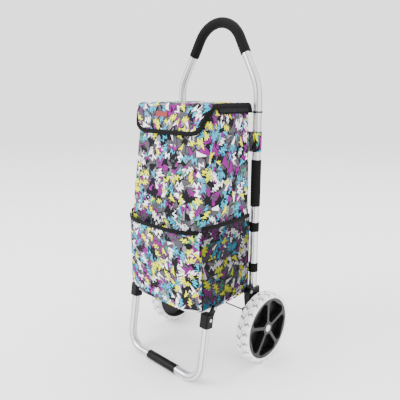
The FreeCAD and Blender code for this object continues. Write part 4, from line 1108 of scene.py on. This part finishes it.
@dataclass
class Tyre:
    """Foam tyre with a tread of bent chevrons that run over its shoulders."""

    side: Side
    centre: tuple[float, float, float] = (0.17825, 0.06875, 0.1)
    radius: float = 0.1
    width: float = 0.0386
    bore: float = 0.0876
    shoulder: float = 0.007
    depth: float = 0.0022
    chevrons: int = 22

    def profile(self, v: Points) -> tuple[Points, Points, Points]:
        """Closed section: offset along the axle, radius, and how much tread there is.

        Args:
            v: How far round the section, from 0 to 1.

        Returns:
            The three numbers at each point.
        """
        half, s = self.width / 2, self.shoulder
        wall = self.radius - s - self.bore
        arc = s * math.pi / 2
        lengths = np.array([wall, arc, 2 * (half - s), arc, wall, 2 * half])
        edges = np.concatenate([[0], np.cumsum(lengths)]) / lengths.sum()
        x, r, tread = np.zeros_like(v), np.zeros_like(v), np.zeros_like(v)
        for i in range(6):
            here = (v >= edges[i] - 1e-9) & (v <= edges[i + 1] + 1e-9)
            t = np.clip((v[here] - edges[i]) / (edges[i + 1] - edges[i]), 0, 1)
            turn = t * math.pi / 2
            x[here], r[here], tread[here] = (
                (-half + 0 * t, self.bore + t * wall, 0.25 * ease(t)),
                (-half + s * (1 - np.cos(turn)), self.radius - s + s * np.sin(turn), 0.25 + 0.75 * ease(t)),
                (-half + s + t * 2 * (half - s), self.radius + 0 * t, 1 + 0 * t),
                (half - s + s * np.sin(turn), self.radius - s + s * np.cos(turn), 1 - 0.75 * ease(t)),
                (half + 0 * t, self.radius - s - t * wall, 0.25 * ease(1 - t)),
                (half - t * 2 * half, self.bore + 0 * t, 0 * t))[i]
        return x, r, tread

    def groove(self, u: Points, v: Points) -> Points:
        """How deep the tread's bent grooves are, from 0 to 1.

        Args:
            u: How far round the wheel, from 0 to 1.
            v: How far round the section, from 0 to 1.

        Returns:
            The depth as a share.
        """
        x, _, tread = self.profile(v)
        t = np.abs(x) / (self.width / 2)
        bend = 1.5 * np.sin(t * 2.6) + 0.55 * np.sin(t * 7.5)
        hand = np.where(x > 0, 0.5, 0.0)
        phase = u * self.chevrons + bend / math.tau * 2.2 + hand
        saw = np.abs((phase % 1) - 0.5) * 2
        main = ease((saw - 0.7) / 0.14)
        second = ease((np.abs(((phase * 2 + 0.31) % 1) - 0.5) * 2 - 0.84) / 0.1) * 0.5
        return tread * np.maximum(main, second)

    def place(self, u: Points, v: Points) -> Points:
        """Points of the tyre, with its grooves pressed in.

        Args:
            u: How far round the wheel, from 0 to 1.
            v: How far round the section, from 0 to 1.

        Returns:
            The points.
        """
        x, r, _ = self.profile(v)
        turn = u * math.tau
        r = r - self.depth * self.groove(u, v)
        cx, cy, cz = self.centre
        return np.stack([self.side.value * cx + x * self.side.value, cy + r * np.sin(turn), cz + r * np.cos(turn)],
                        axis=1)

    def build(self) -> None:
        """The tyre, in place of its plain ring."""
        # the groove depth is also stored on the mesh for the painted shade in the grooves
        tyre = shaped_grid(f"treaded_tyre_{self.side.word}", (880, 84), self.place, (0.628, 0.12),
                           painted_shade=self.groove)
        edit(tyre, close_up)
        smooth(tyre, 60)
        finished(tyre, EVA, f"wheel_{self.side.word}", "white_tyre", f"tyre_{self.side.word}")


# ---- bag -------------------------------------------------------------------------------------


@dataclass
class Bag:
    """Sewn bag: body, floor, front pocket, side pockets and the bindings of their mouths."""

    back: float = 0.0527
    floor: float = 0.204
    waist: float = 0.413
    lower_half: float = 0.1352
    taper: float = 0.009
    back_run: float = 0.1262
    side_run: float = 0.1877
    top: float = 0.717
    corner: float = 0.011
    fold: str = "base_fold"

    def half(self, z: Points) -> Points:
        """Half of the bag's width at a height."""
        return np.where(z < self.waist, self.lower_half,
                        self.lower_half - self.taper * (z - self.waist) / (self.top - self.waist))

    def front(self, z: Points) -> Points:
        """Y of the bag's front face at a height.

        Args:
            z: The height.

        Returns:
            The Y.
        """
        lower = -0.147 + 0.002 * (z - 0.203) / 0.21
        upper = -0.145 + 0.038 * (z - self.waist) / (self.top - self.waist)
        return np.where(z < self.waist, lower, upper)

    def soften(self, piece: bpy.types.Object) -> None:
        """Give a piece a mesh of its own."""
        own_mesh(piece)

    def wall(self, u: Points, v: Points) -> Points:
        """Body cloth: round the bag from the middle of its back, and from its foot to its mouth.

        Args:
            u: How far round the bag, from 0 to 1.
            v: How far up, from 0 to 1.

        Returns:
            The points.
        """
        c = self.corner
        arc = c * math.pi / 2
        spans = np.array([self.back_run, arc, self.side_run, arc, 2 * self.back_run, arc, self.side_run, arc,
                          self.back_run])
        edges = np.concatenate([[0], np.cumsum(spans)]) / spans.sum()
        i = np.clip(np.searchsorted(edges, u, side="right") - 1, 0, 8)
        t = (u - edges[i]) / (edges[i + 1] - edges[i])
        to_front = np.choose(i, [0 * t, 0 * t, t, 1 + 0 * t, 1 + 0 * t, 1 + 0 * t, 1 - t, 0 * t, 0 * t])
        skirt = np.sin(math.pi * np.clip(to_front / 0.9, 0, 1)) ** 0.4
        foot = self.floor - 0.0065 * skirt + 0.007 * ease((to_front - 0.72) / 0.28)
        z = foot + v * (self.top - foot)
        half, front = self.half(z), self.front(z)
        turn = t * math.pi / 2
        back = self.back + 0 * z
        inner, deep = half - c, front + c
        x = np.choose(i, [t * inner, inner + c * np.sin(turn), half, inner + c * np.cos(turn), inner * (1 - 2 * t),
                          -inner - c * np.sin(turn), -half, -inner - c * np.cos(turn), -inner * (1 - t)])
        y = np.choose(i, [back, back - c + c * np.cos(turn), back - c + t * (deep - back + c),
                          deep - c * np.sin(turn), front, deep - c * np.cos(turn), deep + t * (back - c - deep),
                          back - c + c * np.sin(turn), back])
        normal = np.choose(i, [0 * t, turn, 0 * t + math.pi / 2, math.pi / 2 + turn, 0 * t + math.pi, math.pi + turn,
                               0 * t + 1.5 * math.pi, 1.5 * math.pi + turn, 0 * t])
        free = np.choose(i, [0.1, 0.0, 1.0, 0.0, 1.0, 0.0, 1.0, 0.0, 0.1])
        swell = free * np.sin(math.pi * np.clip(t, 0, 1)) ** 0.8 * np.sin(math.pi * v) ** 0.7
        around = u * 0.92
        loose = np.sin(math.pi * np.clip(v, 0, 1)) ** 0.5 * np.where(free == 0, 0.35, 1.0)
        loose = loose * np.where(free == 0.1, 0.2, 1)
        crumple = 0.0014 * ripple(around, z, 0.13, 1.0) + 0.0006 * ripple(around, z * 0.5, 0.05, 4.0)
        push = 0.0035 * swell + loose * crumple
        outside = np.where((i == 0) | (i == 8), -np.abs(push) * 0.3, push)
        return np.stack([x + np.sin(normal) * outside, y + np.cos(normal) * outside, z], axis=1)

    def build(self) -> None:
        """Body, floor and pockets."""
        body = shaped_grid("bag_body", (240, 110), self.wall, (0.918, 0.513))
        edit(body, close_up)
        modify(body, "SOLIDIFY", thickness=THICK_CLOTH, offset=-1.0)
        smooth(body, 60)
        floor = shaped_grid("bag_floor", (60, 44), self.underside, (0.26, 0.19))
        modify(floor, "SOLIDIFY", thickness=THIN_CLOTH, offset=-1.0)
        smooth(floor)
        mouth = self.mouth_binding()
        finished(body, CLOTH, "frame", "printed_fabric", "bag_shell")
        finished(floor, BLACK_CLOTH, "frame", "black_fabric")
        finished(mouth, TAPE, "frame", "black_binding", "bag_rim_binding")
        for piece in (body, floor, mouth):
            self.soften(piece)
        FrontPocket(self).build()
        for side in Side:
            SidePocket(self, side).build()

    def underside(self, u: Points, v: Points) -> Points:
        """Black cloth across the foot of the bag, a little above its hem.

        Args:
            u: How far across, from 0 to 1.
            v: How far from the front, from 0 to 1.

        Returns:
            The points.
        """
        x = (u - 0.5) * 0.264
        y = -0.144 + v * 0.194
        sag = 0.0015 * np.sin(u * math.pi) * np.sin(v * math.pi)
        return np.stack([x, y, 0.2168 - sag], axis=1)

    def mouth_binding(self) -> bpy.types.Object:
        """Tape folded over the edge of the bag's mouth.

        Returns:
            The tape.
        """
        u = np.linspace(0, 1, 241)
        line = self.wall(u, np.full_like(u, 0.985))
        line[:, 0] *= 0.985
        line[:, 1] = self.back - (self.back - line[:, 1]) * 0.99 - 0.0012
        return swept_section("mouth_tape", [Vector(p) for p in line], oval(0.014, 0.0022, 0.4), (0, 0, 1), 16,
                             closed=True)


@dataclass
class FrontPocket:
    """Wide pocket across the lower front, whose mouth stands forward of the bag."""

    bag: Bag
    half: float = 0.1335
    low: float = 0.211
    high: float = 0.4165

    def surface(self, x: Points, z: Points) -> Points:
        """Y of the pocket's face.

        Args:
            x: Where across the pocket.
            z: The height.

        Returns:
            The Y.
        """
        t = np.clip(np.abs(x) / self.half, 0, 1)
        rise = np.clip((z - self.low) / (self.high - self.low), 0, 1)
        bulge = 0.0018 + (0.004 * np.sin(rise * math.pi) + 0.0245 * rise ** 1.5) * (1 - t ** 4.5)
        foot = 0.0048
        loose = np.sin(math.pi * np.clip(rise, 0, 1)) ** 0.6 * (1 - t ** 4)
        return self.bag.front(z) - bulge - foot * (1 - t ** 6) - loose * 0.0012 * ripple(x, z, 0.12, 2.2)

    def place(self, u: Points, v: Points) -> Points:
        """Points of the pocket, its upper edge a little lower in the middle.

        Args:
            u: How far along each point lies, from 0 to 1.
            v: How far up or down, from 0 to 1.

        Returns:
            The points.
        """
        x = (u - 0.5) * 2 * self.half
        t = np.abs(x) / self.half
        low = self.low - 0.0145 * ease((0.118 - np.abs(x)) / 0.05)
        z = low + v * (self.high - low) - v * 0.0035 * (1 - t ** 2)
        return np.stack([x, self.surface(x, z), z], axis=1)

    def build(self) -> None:
        """Pocket and its binding."""
        size = (2 * self.half + 0.012, self.high - self.low + 0.018)
        pocket = shaped_grid("front_pocket_panel", (150, 110), self.place, size, (0.326, 0.0045))
        modify(pocket, "SOLIDIFY", thickness=THICK_CLOTH, offset=1.0)
        smooth(pocket, 60)
        u = np.linspace(0, 1, 121)
        edge = self.place(u, np.ones_like(u))
        edge[:, 1] -= 0.0006
        tape = swept_section("front_pocket_tape", [Vector(p) for p in edge], oval(0.0105, 0.0044, 0.6), (0, 0, 1), 20,
                             end_round=0.001)
        finished(pocket, CLOTH, "frame", "printed_fabric", "front_pocket")
        finished(tape, TAPE, "frame", "black_binding", "front_pocket_binding")
        for piece in (pocket, tape):
            self.bag.soften(piece)


@dataclass
class SidePocket:
    """Netting pocket over the lower half of one side."""

    bag: Bag
    side: Side
    front: float = -0.141
    back: float = 0.0485
    low: float = 0.208
    high: float = 0.4255

    def place(self, u: Points, v: Points) -> Points:
        """Points of the pocket from the bag's front corner to its back corner.

        Args:
            u: How far along each point lies, from 0 to 1.
            v: How far up or down, from 0 to 1.

        Returns:
            The points.
        """
        y = self.front + u * (self.back - self.front)
        z = self.low + v * (self.high - self.low)
        t = np.abs(2 * u - 1)
        out = 0.0014 + 0.0062 * (1 - t ** 3) * (0.45 + 0.55 * v) * ease(v / 0.12)
        out += 0.0008 * ripple(y, z, 0.11, 5.0 + self.side.value) * (1 - t ** 4) * np.sin(math.pi * np.clip(v, 0, 1))
        up = (z - self.bag.floor) / (self.bag.top - self.bag.floor)
        swell = 0.0035 * np.sin(math.pi * u) ** 0.8 * np.sin(math.pi * up) ** 0.7
        x = self.side.value * (self.bag.lower_half + swell + out)
        return np.stack([x, y, z], axis=1)

    def build(self) -> None:
        """Pocket and its binding."""
        size = (self.back - self.front, self.high - self.low)
        pocket = shaped_grid(f"side_pocket_net_{self.side.word}", (100, 100), self.place, size, (0.05, 0.004))
        if self.side is Side.LEFT:
            edit(pocket, bpy.ops.mesh.flip_normals)
        modify(pocket, "SOLIDIFY", thickness=NETTING, offset=1.0)
        smooth(pocket, 60)
        u = np.linspace(0, 1, 81)
        edge = self.place(u, np.ones_like(u))
        tape = swept_section(f"side_pocket_tape_{self.side.word}", [Vector(p) for p in edge],
                             oval(0.0105, 0.0042, 0.6), (0, 0, 1), 20, end_round=0.001)
        word = self.side.word
        finished(pocket, NETTED, "frame", "printed_mesh", f"side_pocket_{word}")
        finished(tape, TAPE, "frame", "black_binding", f"side_pocket_binding_{word}")
        for piece in (pocket, tape):
            self.bag.soften(piece)


# ---- flap ------------------------------------------------------------------------------------


@dataclass
class Flap:
    """Lid of the bag: printed top that wraps over the front, with a bound black panel on each side."""

    half: float = 0.1335
    back: float = 0.0497
    front: float = -0.1155
    top: float = 0.7245
    corner: float = 0.017
    rear_corner: float = 0.020
    edge: float = 0.011
    slope: float = 0.13
    drop: float = 0.0735
    side_drop: float = 0.006
    wrap_end: float = 0.146
    body: str = "flap"

    def rim(self, a: Points, depth: Points) -> tuple[Points, Points]:
        """Plan of the flap's outside: point and outward direction at a signed distance from the middle.

        Args:
            a: Distance round the outside from the middle of the front; its sign is that of X.
            depth: How far below the top the point lies, since the apron slopes forward.

        Returns:
            Points (x, y), and outward unit vectors (x, y).
        """
        straight = self.half - self.corner
        s = np.abs(a)
        turn = np.clip((s - straight) / self.corner, 0, math.pi / 2)
        x = np.minimum(s, straight) + self.corner * np.sin(turn)
        y = (self.front - self.slope * depth + self.corner * (1 - np.cos(turn))
             + np.maximum(s - straight - self.corner * math.pi / 2, 0))
        return np.stack([np.sign(a) * x, y], axis=1), np.stack([np.sign(a) * np.sin(turn), -np.cos(turn)], axis=1)

    def outside(self, a: Points, run: Points, proud: float = 0.0) -> tuple[Points, Points]:
        """Surface beyond the lid's edge, which rolls over and then hangs down.

        Args:
            a: Signed distance round the outside.
            run: Length of cloth from the lid's edge.
            proud: How far outside the cloth.

        Returns:
            Points, and outward unit vectors.
        """
        turn = np.clip(run / self.edge, 0, math.pi / 2)
        depth = self.edge * (1 - np.cos(turn)) + np.maximum(run - self.edge * math.pi / 2, 0)
        plan, out = self.rim(a, depth)
        away = proud * np.sin(turn) - self.edge * (1 - np.sin(turn))
        point = np.stack([plan[:, 0] + out[:, 0] * away, plan[:, 1] + out[:, 1] * away,
                          self.top - depth + proud * np.cos(turn)], axis=1)
        normal = np.stack([out[:, 0] * np.sin(turn), out[:, 1] * np.sin(turn), np.cos(turn)], axis=1)
        return point, normal

    def side_end(self) -> float:
        """Distance round the outside from the middle of the front to the back end of a side."""
        return self.half - self.corner + self.corner * math.pi / 2 + self.back - self.front - self.corner - 0.004

    def run_at(self, depth: float) -> float:
        """Length of cloth from the lid's edge down to a depth.

        Args:
            depth: How far below the top.

        Returns:
            The length.
        """
        if depth < self.edge:
            return self.edge * math.acos(1 - depth / self.edge)
        return depth + self.edge * (math.pi / 2 - 1)

    def reach(self, run: Points) -> Points:
        """Half of the apron's width, round the outside, at a length of cloth from the lid's edge."""
        return curve_through([(0.0, 0.1500), (0.010, 0.1497), (0.018, 0.1465), (0.026, 0.1395), (0.036, 0.1310),
                              (0.048, 0.1255), (0.060, 0.1205), (0.069, 0.1135), (0.0755, 0.1020),
                              (0.0797, 0.0850)])(run)

    def apron(self, u: Points, v: Points) -> Points:
        """Front of the flap, from the lid's edge to its lower edge.

        Args:
            u: How far along each point lies, from 0 to 1.
            v: How far up or down, from 0 to 1.

        Returns:
            The points.
        """
        run = v * self.run_at(self.drop)
        a = (2 * u - 1) * self.reach(run)
        point, normal = self.outside(a, run)
        t = np.abs(2 * u - 1)
        swell = 0.0028 * np.sin(math.pi * v) * (1 - t ** 4) + 0.0011 * ripple(a, run, 0.085, 0.7) * v * (1 - t ** 6)
        return point + normal * swell[:, None]

    def side_roll(self, sign: int) -> Callable[[Points, Points], Points]:
        """Printed cloth that rolls over the lid's side edge, on one side.

        Args:
            sign: The side's sign of X.

        Returns:
            The roll's shape, for shaped_grid.
        """

        def place(u: Points, v: Points) -> Points:
            """Points of the roll, from front to back."""
            a = sign * (self.wrap_end + u * (self.side_end() - self.wrap_end))
            return self.outside(a, v * self.run_at(self.side_drop))[0]
        return place

    def lid(self, u: Points, v: Points) -> Points:
        """Top of the flap, which swells a little.

        Args:
            u: How far along each point lies, from 0 to 1.
            v: How far up or down, from 0 to 1.

        Returns:
            The points.
        """
        inner = self.corner - self.edge
        low, high = self.front + self.edge, self.back
        b = np.where(v < 0.5, 2 * v * v, 1 - 2 * (1 - v) ** 2)
        y = low + (high - low) * b
        full = self.half - self.edge
        short = np.clip(inner - (y - low), 0, inner)
        shy = np.clip(self.rear_corner - (high - y), 0, self.rear_corner)
        half = (full - inner + np.sqrt(np.maximum(inner ** 2 - short ** 2, 0))
                - (self.rear_corner - np.sqrt(np.maximum(self.rear_corner ** 2 - shy ** 2, 0))))
        a = 2 * u - 1
        x = a * half
        crown = (1 - a ** 4) * np.sin(math.pi * np.clip(b, 0, 1)) ** 0.7
        z = self.top + crown * (0.0022 + 0.0008 * ripple(x, y, 0.1, 3.1)) - 0.004 * ease((b - 0.94) / 0.06)
        return np.stack([x, y, z], axis=1)

    def binding_route(self) -> tuple[Points, Points]:
        """Middle of the tape all round the flap's free edge, and the outward direction along it.

        Returns:
            The points and the directions.
        """
        side_run = self.run_at(self.side_drop)
        side_steps, edge_steps, foot_steps = 70, 60, 40
        a_side = np.linspace(self.side_end(), 0.158, side_steps)
        run_edge = np.linspace(0.0135, self.run_at(self.drop), edge_steps)
        a_edge = self.reach(run_edge)
        a_foot = np.linspace(a_edge[-1], 0, foot_steps)[1:]
        a = np.concatenate([a_side, a_edge, a_foot])
        run = np.concatenate([np.full(side_steps, side_run), run_edge, np.full(foot_steps - 1, run_edge[-1])])
        step = slice(side_steps - 14, side_steps + 6)
        run[step] = np.convolve(run, np.ones(9) / 9, "same")[step]
        point, normal = self.outside(a, run, 0.0008)
        tail = np.linspace(1, 0, 14)[:-1]
        turned = np.stack([point[0, 0] + 0 * tail, point[0, 1] - 0.004 + 0.008 * np.sin(tail * math.pi / 2) * 0.7,
                           point[0, 2] - 0.018 * tail], axis=1)
        point = np.concatenate([turned, point[2:]])
        normal = np.concatenate([np.tile([1.0, 0.0, 0.0], (13, 1)), normal[2:]])
        flip = np.array([-1.0, 1.0, 1.0])
        return (np.concatenate([point, (point * flip)[-2::-1]]), np.concatenate([normal, (normal * flip)[-2::-1]]))

    def build(self) -> None:
        """Cloth, binding, side panels, label, tapes and the strip of cloth that hinges the lid."""
        long = self.run_at(self.drop)
        lid = shaped_grid("flap_cloth", (110, 70), self.lid, (2 * (self.half - self.edge), 0.1542), (0.0, 0.6))
        apron = shaped_grid("flap_apron", (150, 64), self.apron, (0.29, -long), (0.0, 0.6))
        sides = [shaped_grid(f"flap_roll_{side.word}", (70, 8), self.side_roll(side.value), (0.15, 0.009), (0.3, 0.5))
                 for side in Side]
        edit(apron, bpy.ops.mesh.flip_normals)
        edit(sides[1], bpy.ops.mesh.flip_normals)
        deselect()
        for piece in (*sides, apron, lid):
            piece.select_set(True)
        bpy.context.view_layer.objects.active = lid
        bpy.ops.object.join()
        modify(lid, "SOLIDIFY", thickness=LID_CLOTH, offset=-1.0)
        smooth(lid, 50)
        line, normal = self.binding_route()
        tangent = np.gradient(line, axis=0)
        tape = swept_section("flap_tape", [Vector(p) for p in line], oval(0.0115, 0.0046, 0.6),
                             lambda _: np.cross(normal, tangent), 20, end_round=0.001)
        label = self.label()
        finished(lid, CLOTH, self.body, "printed_fabric", "flap_panel")
        finished(tape, TAPE, self.body, "black_binding", "flap_binding")
        for side in Side:
            self.side_panel(side)
        self.tapes()
        self.hinge()

    def label(self) -> bpy.types.Object:
        """Plain woven label near the left of the apron.

        Returns:
            The label.
        """
        def place(u: Points, v: Points) -> Points:
            """Points of the label, just proud of the apron."""
            run = self.run_at(0.0215) + v * 0.013
            point, normal = self.outside(-0.044 + u * 0.044, run)
            swell = 0.0028 * np.sin(math.pi * run / self.run_at(self.drop))
            return point + normal * (swell + 0.0016)[:, None]

        label = shaped_grid("woven_label", (22, 8), place, (0.044, 0.013))
        edit(label, bpy.ops.mesh.flip_normals)
        modify(label, "SOLIDIFY", thickness=0.0008, offset=0.0)
        smooth(label)
        return finished(label, LABEL, self.body, "red_label", "flap_label")

    def side_panel(self, side: Side) -> None:
        """Black panel that hangs from one side of the lid.

        Args:
            side: Which side.
        """
        depth = 0.0215

        def place(u: Points, v: Points) -> Points:
            """Points of the panel, from front to back and downwards."""
            y = self.front + 0.028 + u * (self.back - self.front - 0.028 - 0.003)
            lower = depth * np.sqrt(np.clip(1 - np.clip((u - 0.93) / 0.07, 0, 1) ** 2 * 0.6, 0, 1))
            lower = lower * (0.35 + 0.65 * ease(u / 0.16))
            z = self.top - 0.003 - v * lower
            x = side.value * (self.half - 0.0022 + 0.0006 * np.sin(v * math.pi) + 0.0006 * ripple(y, z, 0.07, 2.0) * v)
            return np.stack([x, y, z], axis=1)

        panel = shaped_grid(f"flap_side_panel_{side.word}", (80, 14), place, (0.135, depth))
        if side is Side.RIGHT:
            edit(panel, bpy.ops.mesh.flip_normals)
        modify(panel, "SOLIDIFY", thickness=THIN_CLOTH, offset=0.0)
        smooth(panel)
        u = np.linspace(0, 1, 60)
        line = place(u, np.ones_like(u))
        hem = swept_section(f"flap_side_hem_{side.word}", [Vector(p) for p in line], oval(0.005, 0.0028, 0.6),
                            (0, 0, 1), 16, end_round=0.001)
        finished(panel, BLACK_CLOTH, self.body, "black_fabric", f"flap_side_{side.word}")
        finished(hem, TAPE, self.body, "black_binding")

    def tapes(self) -> None:
        """Strips of hook-and-loop tape, one on the bag's front and one inside the apron."""
        for name, node, body, low in (("bag_loop_tape", "bag_patch", "frame", True),
                                      ("flap_hook_tape", "flap_patch", self.body, False)):
            lowest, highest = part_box(node)

            def place(u: Points, v: Points) -> Points:
                """Points of the strip, over the middle of its CAD node."""
                z = lowest.z + v * (highest.z - lowest.z)
                y = (lowest.y + highest.y) / 2 + 0.0003 * np.sin(u * 40)
                return np.stack([lowest.x + u * (highest.x - lowest.x), y, z], axis=1)

            strip = shaped_grid(name, (40, 12), place, (0.06, 0.018))
            modify(strip, "SOLIDIFY", thickness=highest.y - lowest.y - 0.0002, offset=0.0)
            modify(strip, "BEVEL", width=0.0002, segments=1)
            smooth(strip)
            finished(strip, HOOK_TAPE, body, "hook_and_loop", node)
            if low:
                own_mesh(strip)

    def hinge(self) -> None:
        """Strip of the printed cloth that joins the lid's back edge to the bag's back."""
        def place(u: Points, v: Points) -> Points:
            """Points of the strip, which bends from the back up to the lid."""
            x = (2 * u - 1) * (0.1075 + 0.008 * (1 - v))
            turn = v * math.pi / 2
            y = self.back - 0.001 + 0.0056 * np.cos(turn)
            z = 0.7 + 0.0205 * np.sin(turn)
            return np.stack([x, y, z], axis=1)

        strip = shaped_grid("flap_hinge_cloth", (60, 14), place, (0.23, 0.024), (0.0, 0.4))
        edit(strip, bpy.ops.mesh.flip_normals)
        modify(strip, "SOLIDIFY", thickness=THIN_CLOTH, offset=0.0)
        smooth(strip)
        strip.data.materials.clear()
        strip.data.materials.append(CLOTH.build())
        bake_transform(strip)


# ---- the frame's other nodes, stage and camera -----------------------------------------------


CAD_FINISHES: dict[str, Finish] = {
    "bracket_rivets": ZINC, "tray_pivot_pins": ZINC, "stand_pivot_pins": ZINC, "leg_cap_rivets": ZINC,
    "axle_washers": ZINC, "axle_clips": ZINC, "wheel_axle": ZINC, "cross_rod": BLACK_PAINT,
    "tray_tube": ALUMINIUM, "tray_cross_bars": ALUMINIUM, "tray_lug": ZINC, "rear_bracket": NYLON,
    "leg_cap": NYLON, "rim": RIM, "hub_bush": ACETAL, "hub_cap": CAP, "bag_base_board": BOARD,
}


def dress_frame(nodes: dict[str, bpy.types.Object]) -> None:
    """Give every CAD node that still shows its finish and smooth shading.

    Args:
        nodes: The CAD nodes by name.
    """
    for name, node in nodes.items():
        if node.hide_render:
            continue
        finish = CAD_FINISHES.get(name) or CAD_FINISHES[name.rsplit("_", 1)[0]]
        node.data.materials.clear()
        node.data.materials.append(finish.build())
        smooth(node, 35)
        LOG.info("%s: %s", name, finish.name)


@dataclass
class Studio:
    """Pale floor, soft lamps and the camera."""

    place: tuple[float, float, float] = (0.8572, -0.90245, 0.7449)
    turn_deg: tuple[float, float, float] = (76.79, 0.0, 43.65)
    lens: float = 40.51

    def build(self) -> None:
        """Floor, lamps, sky and camera."""
        deselect()
        bpy.ops.mesh.primitive_plane_add(size=14, location=(0, 0, 0))
        floor = bpy.context.object
        floor.name = "studio_floor"
        ground = Finish("studio_floor_paint", "#fbfbfb", "#f7f7f8", 0.85, grain_mm=30, grain_height_mm=0.01)
        floor.data.materials.append(ground.build())
        lamps = [self.lamp("key", (-1.8, -3.2, 3.2), 2.4, 210), self.lamp("fill", (3.6, -1.2, 1.8), 2.6, 12),
                 self.lamp("top", (0.2, 0.6, 3.6), 2.4, 90), self.lamp("back", (1.2, 3.4, 2.2), 2.4, 30)]
        world = bpy.data.worlds.new("studio")
        world.use_nodes = True
        world.node_tree.nodes["Background"].inputs["Color"].default_value = colour("#ffffff")
        world.node_tree.nodes["Background"].inputs["Strength"].default_value = 2.1
        bpy.context.scene.world = world
        data = bpy.data.cameras.new("camera")
        data.lens = self.lens
        data.sensor_width = 36
        camera = bpy.data.objects.new("camera", data)
        camera.location = self.place
        camera.rotation_euler = [math.radians(a) for a in self.turn_deg]
        bpy.context.scene.collection.objects.link(camera)
        bpy.context.scene.camera = camera

    def lamp(self, name: str, place: tuple[float, float, float], size: float, power: float) -> bpy.types.Object:
        """Square soft lamp that points at the trolley.

        Args:
            name: The lamp's name.
            place: Where it stands.
            size: Its edge, in metres.
            power: Its power, in watts.

        Returns:
            The lamp.
        """
        data = bpy.data.lights.new(name, "AREA")
        data.size = size
        data.energy = power
        lamp = bpy.data.objects.new(name, data)
        lamp.location = place
        lamp.rotation_euler = (Vector((0, 0, 0.4)) - Vector(place)).to_track_quat("-Z", "Y").to_euler()
        bpy.context.scene.collection.objects.link(lamp)
        return lamp


def main() -> None:
    """Build every piece in order, then the stage."""
    logging.basicConfig(level=logging.INFO, format="%(name)s %(message)s")
    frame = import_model()
    Tubes().build()
    for strap in (Strap("printed_strap", 0.596, 0.054, CLOTH, "printed_fabric"),
                  Strap("upper_strap", 0.376, 0.026, TAPE, "black_binding"),
                  Strap("lower_strap", 0.258, 0.026, TAPE, "black_binding"),
                  Strap("top_tie", 0.698, 0.004, TAPE, "black_binding")):
        strap.build()
    for side in Side:
        Tyre(side).build()
    Bag().build()
    Flap().build()
    dress_frame(frame["nodes"])
    Studio().build()
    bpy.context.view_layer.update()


if __name__ == "__main__":
    main()
